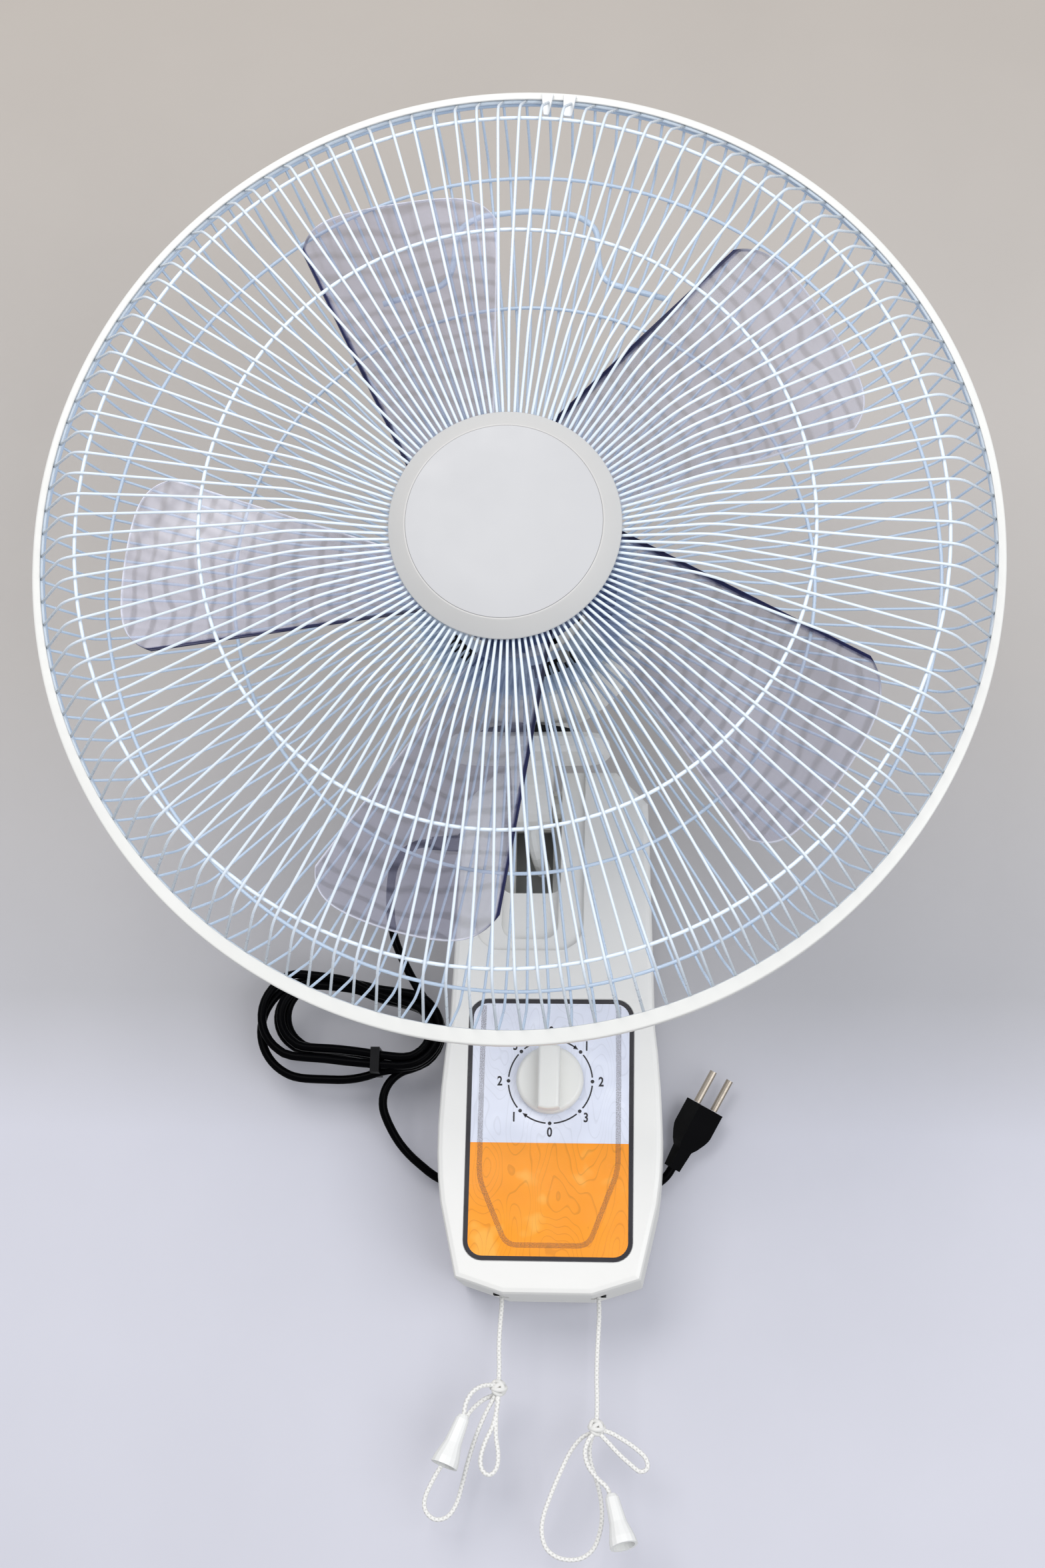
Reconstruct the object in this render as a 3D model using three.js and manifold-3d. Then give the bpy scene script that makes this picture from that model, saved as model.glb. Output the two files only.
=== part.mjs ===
// A wall mounted fan with a 16-inch blade, at real size in millimetres. +Z is up, the wall is the plane
// y = 0 and the fan blows towards -Y. The origin lies on the wall, at the middle of the wall bracket.
import * as THREE from "three";
import { mergeVertices } from "three/addons/utils/BufferGeometryUtils.js";
import Module from "manifold-3d";

const wasm = await Module();
wasm.setup();

// ---------------------------------------------------------------- driving dimensions
const clearance = 0.3; // between two pieces that touch or run in each other

// Wall bracket
const bracketThickness = 2.4;
const bracketWidth = 62;
const bracketHeight = 104;
const bracketScrewRadius = 2.6;
const hookWidth = 12;
const hookThickness = 2.4;
const hookReach = 7;
const hookLip = 7;

// Base housing
const baseDepth = 55.3;
const baseTop = 114.4;
const baseBottom = -171.5;
const baseBottomWidth = 46;
const baseCheekWidth = 120; // widest, at the middle of the label
const baseCheekHeight = 87.5; // above the bottom
const baseTaperHeight = 47.5; // the sides taper in below this height above the bottom
const baseTaperWidth = 115.2;
const baseWaistWidth = 111;
const baseWaistHeight = 143.5;
const baseTopWidth = 67;
const shoulderWidth = 102.8;
const shoulderDrop = 18.4;
const baseWall = 2.5;
const baseFrontWall = 3;
const edgeRound = 3;
const backPlateThickness = 2.2;
const cordChannelDepth = 9.6; // groove behind the base that the plug's end of the cord lies in
const cordChannelBottom = -113.2;
const cordChannelTop = -100;

// Control panel
const dialHeight = -60;
const labelWidth = 89;
const labelHeight = 139;
const labelMiddle = -85;
const labelCorner = 10;
const labelThickness = 0.5;
const knobRadius = 18;
const knobHeight = 17;
const knobSkirt = 8;
const knobGripWidth = 11;
const spindleRadius = 3;
const switchRadius = 17;
const switchDepth = 16;
const bushRadius = 5;

// Neck and its two hinges
const headOffset = -13; // the head stands to the left of the middle of the base
const tiltHeight = 96;
const tiltInset = 12; // tilt bolt behind the front of the base
const restTilt = 8; // degrees that the fan looks down
const channelWidth = 33;
const channelDepth = 38;
const channelFloor = 46;
const tongueWidth = 22;
const tongueRadius = 12;
const boltRadius = 3;
const saddleWidth = 88;
const saddleLength = 50;
const saddleThickness = 11;
const saddleUnder = 22; // underside of the saddle above the tilt bolt
const saddleRear = 12;
const swingReach = 36; // swing axis in front of the tilt bolt
const swingPinRadius = 6;
const swingPinLength = 24;
const swingWasherRadius = 27.5;
const swingWasherThickness = 3;

// Motor
const motorRadius = 65;
const motorLift = 0.4; // underside of the motor above its swing washer
const swingBehindSplit = 24.2; // swing axis behind the joint of the two motor housings
const motorFrontLength = 40;
const motorRearLength = 58;
const motorWall = 2.5;
const shaftRadius = 4;
const bearingRadius = 11;
const bearingLength = 7;
const statorLength = 26;
const rotorRadius = 32;

// Guard: radii from the fan axis, depths from the middle of the rim, positive towards the wall
const guardRadius = 240;
const bandThickness = 1.7;
const bandLip = 1.1;
const bandFlange = 1.3;
const wireCount = 63;
const wireRadius = 0.8;
const ringRadius = 1;
const rimRingRadius = 1.2;
const frontPlateInner = 30;
const frontPlateOuter = 48;
const frontPlateDepth = -40.5;
const frontKinkRadius = 98;
const frontKinkDepth = -60;
const frontCornerInset = 25; // the wires' outer bend, in from the rim
const frontCornerDepth = -39;
const frontInnerRing = 146;
const frontOuterRingInset = 31;
const rearPlateInner = 38;
const rearPlateOuter = 49;
const rearPlateDepth = 70;
const rearDishRadius = 92;
const rearDishDepth = 60;
const rearKinkRadius = 139;
const rearKinkDepth = 72;
const rearCornerInset = 18;
const rearCornerDepth = 39;
const rearInnerRing = 152;
const rearOuterRingInset = 26;
const plateThickness = 1.5;
const guardScrewRadius = 1.8;
const guardScrewCircle = 43.5;

// Bent-wire loop at the top of the rear guard
const loopHalf = 39;
const loopTopInset = 34;
const loopFootInset = 76;
const loopFootLength = 33;
const loopFootDrop = 10;
const loopStand = 8; // the loop stands this far behind its feet
const loopWire = 1.6;

// Cap in the middle of the guard
const capRadius = 55.5;
const capFaceRadius = 47;
const capHeight = 7.5;
const capWall = 2;
const discThickness = 1.2;

// Impeller
const bladeCount = 5;
const bladeRadius = 196;
const bladeThickness = 2.2;
const bladeTipAngle = 31.4; // degrees between the two edges at the tip
const bladePhase = 124.7; // degrees, trailing edge of the first blade at its tip
const trailingOffset = 29; // the trailing edge's line passes the axis at this distance
const leadingOffset = 12;
const bladeFront = -20;
const bladeRear = 22;
const hubRadius = 42;
const hubFront = -14;
const hubRear = 30;
const hubWall = 2.5;
const hubBoreWall = 6;
const nutRadius = 20;
const nutLength = 20;
const drivePinRadius = 1.5;

// Pull switches and their cords
const pullSpacing = 52;
const pullDepth = 30; // cords behind the wall plane
const pullRodRadius = 3.2;
const pullRodLength = 32;
const pullTravel = 14;
const pullBodyWidth = 22;
const pullBodyHeight = 34;
const pullBodyBottom = -152;
const pullSlot = 8;
const pullCordRadius = 1.2;
const knotRadius = 4;
const bellRadius = 7.3;
const bellLength = 27;
const bellWall = 1.5;

// Mains cord
const cordWidth = 4.9;
const glandHeight = 82;
const glandDepth = 24;
const glandRadius = 6;
const reliefLength = 20;
const hankLength = 104;
const hankHeight = 56;
const hankBundle = 11;
const hankDepth = 15.4;
const hankMiddle = [-115, -24, -22];
const hankExit = 28; // the cord meets the hank this far to the right of its middle
const tieWidth = 5;
const tieThickness = 1.2;
const plugLength = 38;
const plugWidth = 17;
const plugThickness = 14;
const plugPinRadius = 2;
const plugPinLength = 19;
const plugPinSpacing = 12.5;
const plugTop = [64.5, -7.4, -99.2]; // where the cord enters the plug, to the right of the base
const plugLean = 29; // degrees from upright
const plugNod = 9; // degrees away from the wall
const plugRoll = -40;

// ---------------------------------------------------------------- derived places
const baseRear = -(bracketThickness + clearance);
const baseFront = baseRear - baseDepth;
const tiltPoint = new THREE.Vector3(headOffset, baseFront + tiltInset, tiltHeight);
const motorFront = rearPlateDepth + plateThickness + clearance;
const motorSplit = motorFront + motorFrontLength;
const motorRear = motorSplit + clearance + motorRearLength;
const saddleTop = saddleUnder + saddleThickness;
const swingBossBottom = saddleTop + swingWasherThickness + 2 * clearance;
const axisHeight = swingBossBottom + motorLift + motorRadius; // fan axis above the tilt bolt
const rimReach = swingReach + motorSplit + swingBehindSplit; // middle of the rim in front of the tilt bolt
const rimRingCircle = guardRadius - bandThickness - 3 * clearance - rimRingRadius;
const rimRingDepth = rimRingRadius + clearance;

// ---------------------------------------------------------------- materials
const plastic = (color, roughness = 0.45) => new THREE.MeshStandardMaterial({ color, roughness, metalness: 0 });
const metal = (color, roughness = 0.35) => new THREE.MeshStandardMaterial({ color, roughness, metalness: 1 });
const cream = plastic(0xf1eee2);
const guardWhite = plastic(0xf2f4f6, 0.35);
const capGrey = plastic(0xdcdad6);
const labelLilac = plastic(0xdfe1f2, 0.3);
const knobWhite = plastic(0xe9e7de);
const clearBlue = new THREE.MeshStandardMaterial({
  color: 0xc3c8dc,
  roughness: 0.1,
  transparent: true,
  opacity: 0.45,
});
const black = plastic(0x17171a, 0.55);
const steel = metal(0xb9bcc0);
const zinc = metal(0xc9c8c0, 0.45);
const brass = metal(0xc9a552);
const copper = metal(0xb4673a, 0.5);
const cordWhite = plastic(0xf3f2ee, 0.9);
const grey = plastic(0xb8b8b4);

// ---------------------------------------------------------------- solid modelling helpers
function toSolid(geometry) {
  const source = geometry.index ? geometry.toNonIndexed() : geometry.clone();
  source.deleteAttribute("normal");
  source.deleteAttribute("uv");
  const merged = mergeVertices(source, 1e-3);
  return new wasm.Manifold(
    new wasm.Mesh({
      numProp: 3,
      vertProperties: merged.attributes.position.array,
      triVerts: new Uint32Array(merged.index.array),
    }),
  );
}

function toGeometry(solid) {
  const mesh = solid.getMesh();
  const geometry = new THREE.BufferGeometry();
  geometry.setAttribute("position", new THREE.BufferAttribute(mesh.vertProperties, 3));
  geometry.setIndex(new THREE.BufferAttribute(mesh.triVerts, 1));
  geometry.computeVertexNormals();
  return geometry;
}

const sumOf = (pieces) => pieces.map(toSolid).reduce((sum, piece) => sum.add(piece));
const join = (...pieces) => toGeometry(sumOf(pieces));
const cut = (body, ...tools) => toGeometry(toSolid(body).subtract(sumOf(tools)));

// Solid of revolution about Y from [radius, y] points, a closed section or one that starts and ends on the axis.
function turned(points, sides = 48) {
  const section = points.map(([r, y]) => new THREE.Vector2(r, y));
  const facesOut = THREE.ShapeUtils.area(section) > 0;
  return new THREE.LatheGeometry(facesOut ? section : section.reverse(), sides);
}

// Ring with a rectangular section, about Y.
function collar(inner, outer, y0, y1, sides = 48) {
  return turned([[inner, y0], [outer, y0], [outer, y1], [inner, y1], [inner, y0]], sides);
}

// Ring of wire about Y, with a three-sided section.
function wireRing(circle, y, radius, sides = wireCount) {
  const section = [[circle + radius, y], [circle - radius, y + radius], [circle - radius, y - radius]];
  return turned([...section, section[0]], sides);
}

const rodY = (radius, y0, y1, sides = 24) =>
  new THREE.CylinderGeometry(radius, radius, y1 - y0, sides).translate(0, (y0 + y1) / 2, 0);
const rodZ = (radius, z0, z1, sides = 24) =>
  new THREE.CylinderGeometry(radius, radius, z1 - z0, sides)
    .rotateX(Math.PI / 2)
    .translate(0, 0, (z0 + z1) / 2);
const rodX = (radius, x0, x1, sides = 24) =>
  new THREE.CylinderGeometry(radius, radius, x1 - x0, sides)
    .rotateZ(Math.PI / 2)
    .translate((x0 + x1) / 2, 0, 0);

function block(x0, x1, y0, y1, z0, z1) {
  return new THREE.BoxGeometry(x1 - x0, y1 - y0, z1 - z0).translate((x0 + x1) / 2, (y0 + y1) / 2, (z0 + z1) / 2);
}

// Front-view outline (x, z) drawn out along Y from yRear to yFront, which is the nearer end.
function prismY(shape, yRear, yFront, options = {}) {
  return new THREE.ExtrudeGeometry(shape, {
    depth: yRear - yFront,
    bevelEnabled: false,
    curveSegments: 3,
    ...options,
  })
    .rotateX(Math.PI / 2)
    .translate(0, yRear, 0);
}

// Side-view outline (y, z) drawn out along X.
function prismX(shape, x0, x1) {
  const turn = new THREE.Matrix4().makeBasis(
    new THREE.Vector3(0, 1, 0),
    new THREE.Vector3(0, 0, 1),
    new THREE.Vector3(1, 0, 0),
  );
  return new THREE.ExtrudeGeometry(shape, { depth: x1 - x0, bevelEnabled: false, curveSegments: 4 })
    .applyMatrix4(turn)
    .translate(x0, 0, 0);
}

// Rectangle from (x0, y0) to (x1, y1) with round corners.
function roundedRect(x0, y0, x1, y1, r) {
  const shape = new THREE.Shape();
  shape.moveTo(x0 + r, y0);
  shape.lineTo(x1 - r, y0);
  shape.absarc(x1 - r, y0 + r, r, -Math.PI / 2, 0);
  shape.lineTo(x1, y1 - r);
  shape.absarc(x1 - r, y1 - r, r, 0, Math.PI / 2);
  shape.lineTo(x0 + r, y1);
  shape.absarc(x0 + r, y1 - r, r, Math.PI / 2, Math.PI);
  shape.lineTo(x0, y0 + r);
  shape.absarc(x0 + r, y0 + r, r, Math.PI, 1.5 * Math.PI);
  return shape;
}

// Wire bent at each point, straight between them.
class Bends extends THREE.Curve {
  constructor(points) {
    super();
    this.points = points.map((p) => new THREE.Vector3(...p));
  }

  getPoint(t, target = new THREE.Vector3()) {
    const along = t * (this.points.length - 1);
    const start = Math.min(Math.floor(along), this.points.length - 2);
    return target.lerpVectors(this.points[start], this.points[start + 1], along - start);
  }

  getPointAt(u, target) {
    return this.getPoint(u, target);
  }
}

function polygon(sides, a, b = a) {
  const corners = Array.from({ length: sides }, (_, i) => (2 * Math.PI * (i + 0.5)) / sides);
  return new THREE.Shape(corners.map((t) => new THREE.Vector2(a * Math.cos(t), b * Math.sin(t))));
}

function bentWire(points, radius, sides) {
  const path = new Bends(points);
  return new THREE.ExtrudeGeometry(polygon(sides, radius), { steps: points.length - 1, extrudePath: path });
}

function tube(points, steps, a, b = a, sides = 8) {
  const path = new THREE.CatmullRomCurve3(points.map((p) => new THREE.Vector3(...p)));
  return new THREE.ExtrudeGeometry(polygon(sides, a, b), { steps, extrudePath: path });
}

// ---------------------------------------------------------------- scene graph
const fan = new THREE.Group();
const neckFrame = new THREE.Group(); // origin at the tilt bolt, turned down by the resting tilt
neckFrame.position.copy(tiltPoint);
neckFrame.rotation.x = THREE.MathUtils.degToRad(restTilt);
const swingFrame = new THREE.Group(); // origin on the swing axis
swingFrame.position.set(0, -swingReach, 0);
const fanFrame = new THREE.Group(); // Y is the fan axis, origin in the middle of the guard's rim
fanFrame.position.set(0, swingReach - rimReach, axisHeight);
fan.add(neckFrame);
neckFrame.add(swingFrame);
swingFrame.add(fanFrame);

function place(parent, name, geometry, material, x = 0, y = 0, z = 0) {
  const mesh = new THREE.Mesh(geometry, material);
  mesh.name = name;
  mesh.position.set(x, y, z);
  parent.add(mesh);
  return mesh;
}

// ---------------------------------------------------------------- base
// Front view of the base, drawn inside the real outline by inset.
function baseOutline(inset) {
  const cheek = baseCheekWidth / 2 - inset;
  const cheekHeight = baseBottom + baseCheekHeight;
  const taper = baseTaperWidth / 2 - inset;
  const waistHeight = baseBottom + baseWaistHeight; // the sides run straight from here to the shoulder
  const waist = baseWaistWidth / 2 - inset;
  const shoulder = baseTop - shoulderDrop - 0.4 * inset;
  const right = [
    [baseBottomWidth / 2, baseBottom + inset],
    [taper - 9.6 + 0.4 * inset, baseBottom + 8 + 0.8 * inset],
    [taper, baseBottom + baseTaperHeight],
  ];
  const shape = new THREE.Shape();
  shape.moveTo(-right[0][0], right[0][1]);
  right.forEach(([x, z]) => shape.lineTo(x, z));
  shape.quadraticCurveTo(cheek + 0.5, (right[2][1] + cheekHeight) / 2 - 2, cheek, cheekHeight);
  shape.quadraticCurveTo(cheek - 1, (cheekHeight + waistHeight) / 2 + 4, waist, waistHeight);
  shape.lineTo(shoulderWidth / 2 - inset, shoulder);
  shape.lineTo(baseTopWidth / 2 - 0.4 * inset, baseTop - inset);
  shape.lineTo(-(baseTopWidth / 2 - 0.4 * inset), baseTop - inset);
  shape.lineTo(-(shoulderWidth / 2 - inset), shoulder);
  shape.lineTo(-waist, waistHeight);
  shape.quadraticCurveTo(-(cheek - 1), (cheekHeight + waistHeight) / 2 + 4, -cheek, cheekHeight);
  shape.quadraticCurveTo(-(cheek + 0.5), (right[2][1] + cheekHeight) / 2 - 2, -right[2][0], right[2][1]);
  shape.lineTo(-right[1][0], right[1][1]);
  return shape;
}

const bracketSlots = [-1, 1].map((side) => side * (bracketHeight / 2 - 22));

function makeBackPlate() {
  const rear = baseRear;
  const front = rear - backPlateThickness;
  const plate = prismY(baseOutline(baseWall + clearance), rear, front);
  const slots = bracketSlots.map((z) =>
    block(
      -hookWidth / 2 - 1,
      hookWidth / 2 + 1,
      front - 1,
      rear + 1,
      z - hookThickness / 2 - 1,
      z + hookLip + hookThickness / 2 + 1,
    ),
  );
  const depth = cordChannelDepth + backPlateThickness;
  const edge = backPlateThickness;
  const back = block(-80, 80, -depth, front + 1, cordChannelBottom - edge, cordChannelTop + edge);
  const inside = prismY(baseOutline(baseWall + clearance), rear, -depth - 5);
  const bulge = toGeometry(toSolid(back).intersect(toSolid(inside)));
  return cut(join(plate, bulge), cordChannel(), ...slots);
}

// The groove across the back of the base, open to the wall and to both sides.
function cordChannel() {
  return block(-80, 80, -cordChannelDepth, 5, cordChannelBottom, cordChannelTop);
}

function makeBracket() {
  const plate = prismY(
    roundedRect(-bracketWidth / 2, -bracketHeight / 2, bracketWidth / 2, bracketHeight / 2, 6),
    0,
    -bracketThickness,
  );
  const reach = -(bracketThickness + hookReach);
  const hooks = bracketSlots.flatMap((z) => [
    block(-hookWidth / 2, hookWidth / 2, reach, -bracketThickness / 2, z - hookThickness / 2, z + hookThickness / 2),
    block(-hookWidth / 2, hookWidth / 2, reach, reach + hookThickness * 0.8, z, z + hookLip),
  ]);
  const holes = [-1, 1].flatMap((sx) =>
    [-1, 1].map((sz) =>
      rodY(bracketScrewRadius, -bracketThickness - 1, 1, 12).translate(
        sx * (bracketWidth / 2 - 10),
        0,
        sz * (bracketHeight / 2 - 10),
      ),
    ),
  );
  return cut(join(plate, ...hooks), ...holes);
}

// The channel that the neck's tongue hangs in, open to the front and the top, grown by extra on all sides.
function channel(extra) {
  return prismY(
    roundedRect(-channelWidth / 2 - extra, channelFloor - extra, channelWidth / 2 + extra, baseTop + 40, 6 + extra),
    baseFront + channelDepth + extra,
    baseFront - 10,
  ).translate(headOffset, 0, 0);
}

// The shallow valley round the channel, and the scoop below it.
function valley(extra) {
  const halfWidth = channelWidth / 2 + 13 + extra;
  const dish = prismY(
    roundedRect(-halfWidth, channelFloor - 34 - extra, halfWidth, baseTop + 60, 14 + extra),
    baseFront + 3 + extra,
    baseFront - 10,
  );
  const scoop = prismY(
    roundedRect(-channelWidth / 2 + 1 - extra, channelFloor - 27 - extra, channelWidth / 2 - 1 + extra, channelFloor + 20, 8),
    baseFront + 8 + extra,
    baseFront - 10,
  );
  return join(dish, scoop).translate(headOffset, 0, 0);
}

function makeBaseShell() {
  const outer = prismY(baseOutline(edgeRound), 10, baseFront + edgeRound, {
    bevelEnabled: true,
    bevelThickness: edgeRound,
    bevelSize: edgeRound,
    bevelSegments: 2,
  });
  const inside = prismY(baseOutline(baseWall), 20, baseFront + baseFrontWall);
  const hollow = cut(inside, channel(baseWall), valley(baseWall));
  const opening = block(
    headOffset - 11,
    headOffset + 10,
    baseFront + channelDepth - 1,
    baseFront + channelDepth + baseWall + 1,
    channelFloor + 1,
    channelFloor + 44,
  );
  const labelRecess = prismY(
    roundedRect(
      -labelWidth / 2 - clearance,
      labelMiddle - labelHeight / 2 - clearance,
      labelWidth / 2 + clearance,
      labelMiddle + labelHeight / 2 + clearance,
      labelCorner + clearance,
    ),
    baseFront + labelThickness + clearance,
    baseFront - 5,
  );
  const bushHole = rodY(bushRadius + clearance, baseFront - 5, baseFront + 10, 20).translate(0, 0, dialHeight);
  const boltHole = rodX(boltRadius + clearance, -channelWidth, channelWidth, 16).translate(...tiltPoint);
  const glandHole = rodX(glandRadius - 1 + clearance, -70, -40, 16).translate(0, -glandDepth, glandHeight);
  const cordSlots = [-1, 1].map((side) =>
    block(-pullSlot / 2, pullSlot / 2, -pullSlot / 2, pullSlot / 2, baseBottom - 10, baseBottom + 14).translate(
      (side * pullSpacing) / 2,
      -pullDepth,
      0,
    ),
  );
  const behind = block(-100, 100, baseRear, 60, baseBottom - 20, baseTop + 20);
  return cut(
    outer,
    hollow,
    channel(0),
    valley(0),
    opening,
    labelRecess,
    bushHole,
    boltHole,
    glandHole,
    cordChannel(),
    ...cordSlots,
    behind,
  );
}

place(fan, "wall_bracket", makeBracket(), zinc);
place(fan, "back_plate", makeBackPlate(), grey);
place(fan, "base_shell", makeBaseShell(), cream);

const labelShape = roundedRect(
  -labelWidth / 2,
  labelMiddle - labelHeight / 2,
  labelWidth / 2,
  labelMiddle + labelHeight / 2,
  labelCorner,
);
place(
  fan,
  "label_panel",
  cut(
    prismY(labelShape, baseFront + labelThickness, baseFront),
    rodY(bushRadius + clearance, baseFront - 5, baseFront + 5, 20).translate(0, 0, dialHeight),
  ),
  labelLilac,
);

// Rotary speed switch, its spindle and its knob.
const switchFront = baseFront + baseFrontWall + clearance;
const spindleFront = baseFront - knobHeight + 4;
place(
  fan,
  "rotary_switch",
  turned(
    [
      [spindleRadius + clearance, baseFront],
      [bushRadius, baseFront],
      [bushRadius, switchFront],
      [switchRadius, switchFront],
      [switchRadius, switchFront + switchDepth],
      [spindleRadius + clearance, switchFront + switchDepth],
      [spindleRadius + clearance, baseFront],
    ],
    24,
  ),
  grey,
  0,
  0,
  dialHeight,
);
place(fan, "switch_spindle", rodY(spindleRadius, spindleFront, switchFront + switchDepth - 2, 16), brass, 0, 0, dialHeight);

function makeKnob() {
  const rear = baseFront - 2 * clearance;
  const front = baseFront - knobHeight;
  const skirt = turned(
    [
      [0, rear],
      [knobRadius, rear],
      [knobRadius, rear - knobSkirt + 2],
      [knobRadius - 1.5, rear - knobSkirt],
      [0, rear - knobSkirt - 1],
    ],
    32,
  );
  const grip = prismX(
    roundedRect(front, -knobRadius + 1.2, rear - 1, knobRadius - 1.2, 4),
    -knobGripWidth / 2,
    knobGripWidth / 2,
  );
  const bore = rodY(spindleRadius + clearance, spindleFront - clearance, rear + 1, 16);
  return cut(join(skirt, grip), bore);
}
place(fan, "speed_knob", makeKnob(), knobWhite, 0, 0, dialHeight);

// Tilt bolt through the two cheeks of the channel and the tongue, with a nut and two spacers.
const boltEnd = channelWidth / 2 + baseWall + clearance;
place(
  fan,
  "tilt_bolt",
  join(rodX(boltRadius, -boltEnd - 3, boltEnd + 8, 16), rodX(boltRadius + 2.5, -boltEnd - 3, -boltEnd, 16)),
  steel,
  ...tiltPoint,
);
place(
  fan,
  "tilt_nut",
  cut(rodX(boltRadius + 3, boltEnd, boltEnd + 5, 6), rodX(boltRadius + clearance, 0, boltEnd + 9, 16)),
  steel,
  ...tiltPoint,
);
[-1, 1].forEach((side) => {
  const inner = tongueWidth / 2 + clearance;
  const outer = channelWidth / 2 - clearance;
  const spacer = collar(boltRadius + clearance, boltRadius + 6, inner, outer, 20).rotateZ((-side * Math.PI) / 2);
  place(fan, side < 0 ? "tilt_spacer_left" : "tilt_spacer_right", spacer, zinc, ...tiltPoint);
});

// ---------------------------------------------------------------- neck
function makeNeck() {
  const saddle = new THREE.ExtrudeGeometry(
    roundedRect(
      -saddleWidth / 2 + 3,
      -saddleRear - saddleLength + 3,
      saddleWidth / 2 - 3,
      -saddleRear - 3,
      14,
    ),
    { depth: saddleThickness - 6, bevelThickness: 3, bevelSize: 3, bevelSegments: 1, curveSegments: 3 },
  ).translate(0, 0, saddleUnder + 3);
  const side = new THREE.Shape();
  side.moveTo(-saddleRear - 22, saddleUnder + 4);
  side.lineTo(-saddleRear - 20, saddleUnder - 3);
  side.quadraticCurveTo(-tongueRadius - 2, saddleUnder - 10, -tongueRadius, 0);
  side.absarc(0, 0, tongueRadius, Math.PI, 2 * Math.PI);
  side.quadraticCurveTo(tongueRadius - 1, saddleUnder - 4, -saddleRear + 8, saddleTop - 3);
  side.lineTo(-saddleRear - 22, saddleTop - 3);
  const tongue = prismX(side, -tongueWidth / 2, tongueWidth / 2);
  const boltBore = rodX(boltRadius + clearance, -tongueWidth, tongueWidth, 16);
  const pinBore = rodZ(swingPinRadius + clearance, saddleUnder + 3, saddleTop + 5, 20).translate(0, -swingReach, 0);
  const sleeveBore = rodZ(sleeveRadius + clearance, -tongueRadius - 5, -boltRadius - 3, 12).translate(0, 2, 0);
  return cut(join(saddle, tongue), boltBore, pinBore, sleeveBore);
}

const sleeveRadius = 4.2;
place(neckFrame, "neck", makeNeck(), cream);
place(
  neckFrame,
  "lead_sleeve",
  tube([[0, 2, -tongueRadius + 5], [0.5, 2.5, -17], [3, 7, -27], [5, 20, -33]], 9, sleeveRadius, sleeveRadius, 10),
  guardWhite,
);
place(
  swingFrame,
  "swing_pin",
  rodZ(swingPinRadius, saddleUnder + 3 + clearance, saddleUnder + 3 + clearance + swingPinLength + 8, 20),
  steel,
);
place(
  swingFrame,
  "swing_washer",
  collar(
    swingPinRadius + clearance,
    swingWasherRadius,
    saddleTop + clearance,
    saddleTop + clearance + swingWasherThickness,
    36,
  ).rotateX(Math.PI / 2),
  black,
);

// ---------------------------------------------------------------- motor
const guardScrewAngles = [0.5, 1.5, 2.5].map((step) => (step * 2 * Math.PI) / 3);
const swingDepth = rimReach - swingReach; // the swing axis behind the middle of the rim
const shaftRear = motorSplit + 20;

function makeMotorFront() {
  const shell = turned(
    [
      [bearingRadius + clearance, motorFront],
      [motorRadius - 5, motorFront],
      [motorRadius - 2, motorFront + 4],
      [motorRadius, motorSplit],
      [motorRadius - motorWall, motorSplit],
      [motorRadius - 2 - motorWall, motorFront + 6],
      [motorRadius - 6 - motorWall, motorFront + motorWall],
      [bearingRadius + 3, motorFront + motorWall],
      [bearingRadius + 3, motorFront + bearingLength],
      [bearingRadius + clearance, motorFront + bearingLength],
      [bearingRadius + clearance, motorFront],
    ],
    36,
  );
  const slotRing = Array.from({ length: 12 }, (_, i) =>
    block(23, rearPlateInner - 3, motorFront - 1, motorFront + motorWall + 1, -1.8, 1.8).rotateY((i * Math.PI) / 6),
  );
  const screwHoles = guardScrewAngles.map((angle) =>
    rodY(guardScrewRadius + clearance, motorFront - 1, motorFront + motorWall + 1, 10)
      .translate(guardScrewCircle, 0, 0)
      .rotateY(angle),
  );
  return cut(shell, ...slotRing, ...screwHoles);
}

function makeMotorRear() {
  const front = motorSplit + clearance;
  const shell = turned(
    [
      [0, motorRear - motorWall],
      [motorRadius - 26, motorRear - motorWall],
      [motorRadius - 12, motorRear - 8],
      [motorRadius - 4, motorRear - 22],
      [motorRadius - motorWall, front],
      [motorRadius, front],
      [motorRadius - 1.5, motorRear - 22],
      [motorRadius - 10, motorRear - 6],
      [motorRadius - 26, motorRear],
      [0, motorRear],
    ],
    36,
  );
  const bossTop = swingBossBottom + 22;
  const boss = rodZ(swingPinRadius + 15, swingBossBottom, bossTop, 32).translate(0, swingDepth, -axisHeight);
  const bore = rodZ(swingPinRadius + clearance, swingBossBottom - 5, bossTop + 5, 20).translate(0, swingDepth, -axisHeight);
  const vents = Array.from({ length: 6 }, (_, i) =>
    block(-2, 2, motorRear - 12, motorRear + 5, 16, 34).rotateY((i * Math.PI) / 3 + Math.PI / 6),
  );
  return cut(join(shell, boss), bore, ...vents);
}

place(fanFrame, "motor_front_housing", makeMotorFront(), cream);
place(fanFrame, "motor_rear_cover", makeMotorRear(), cream);

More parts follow.
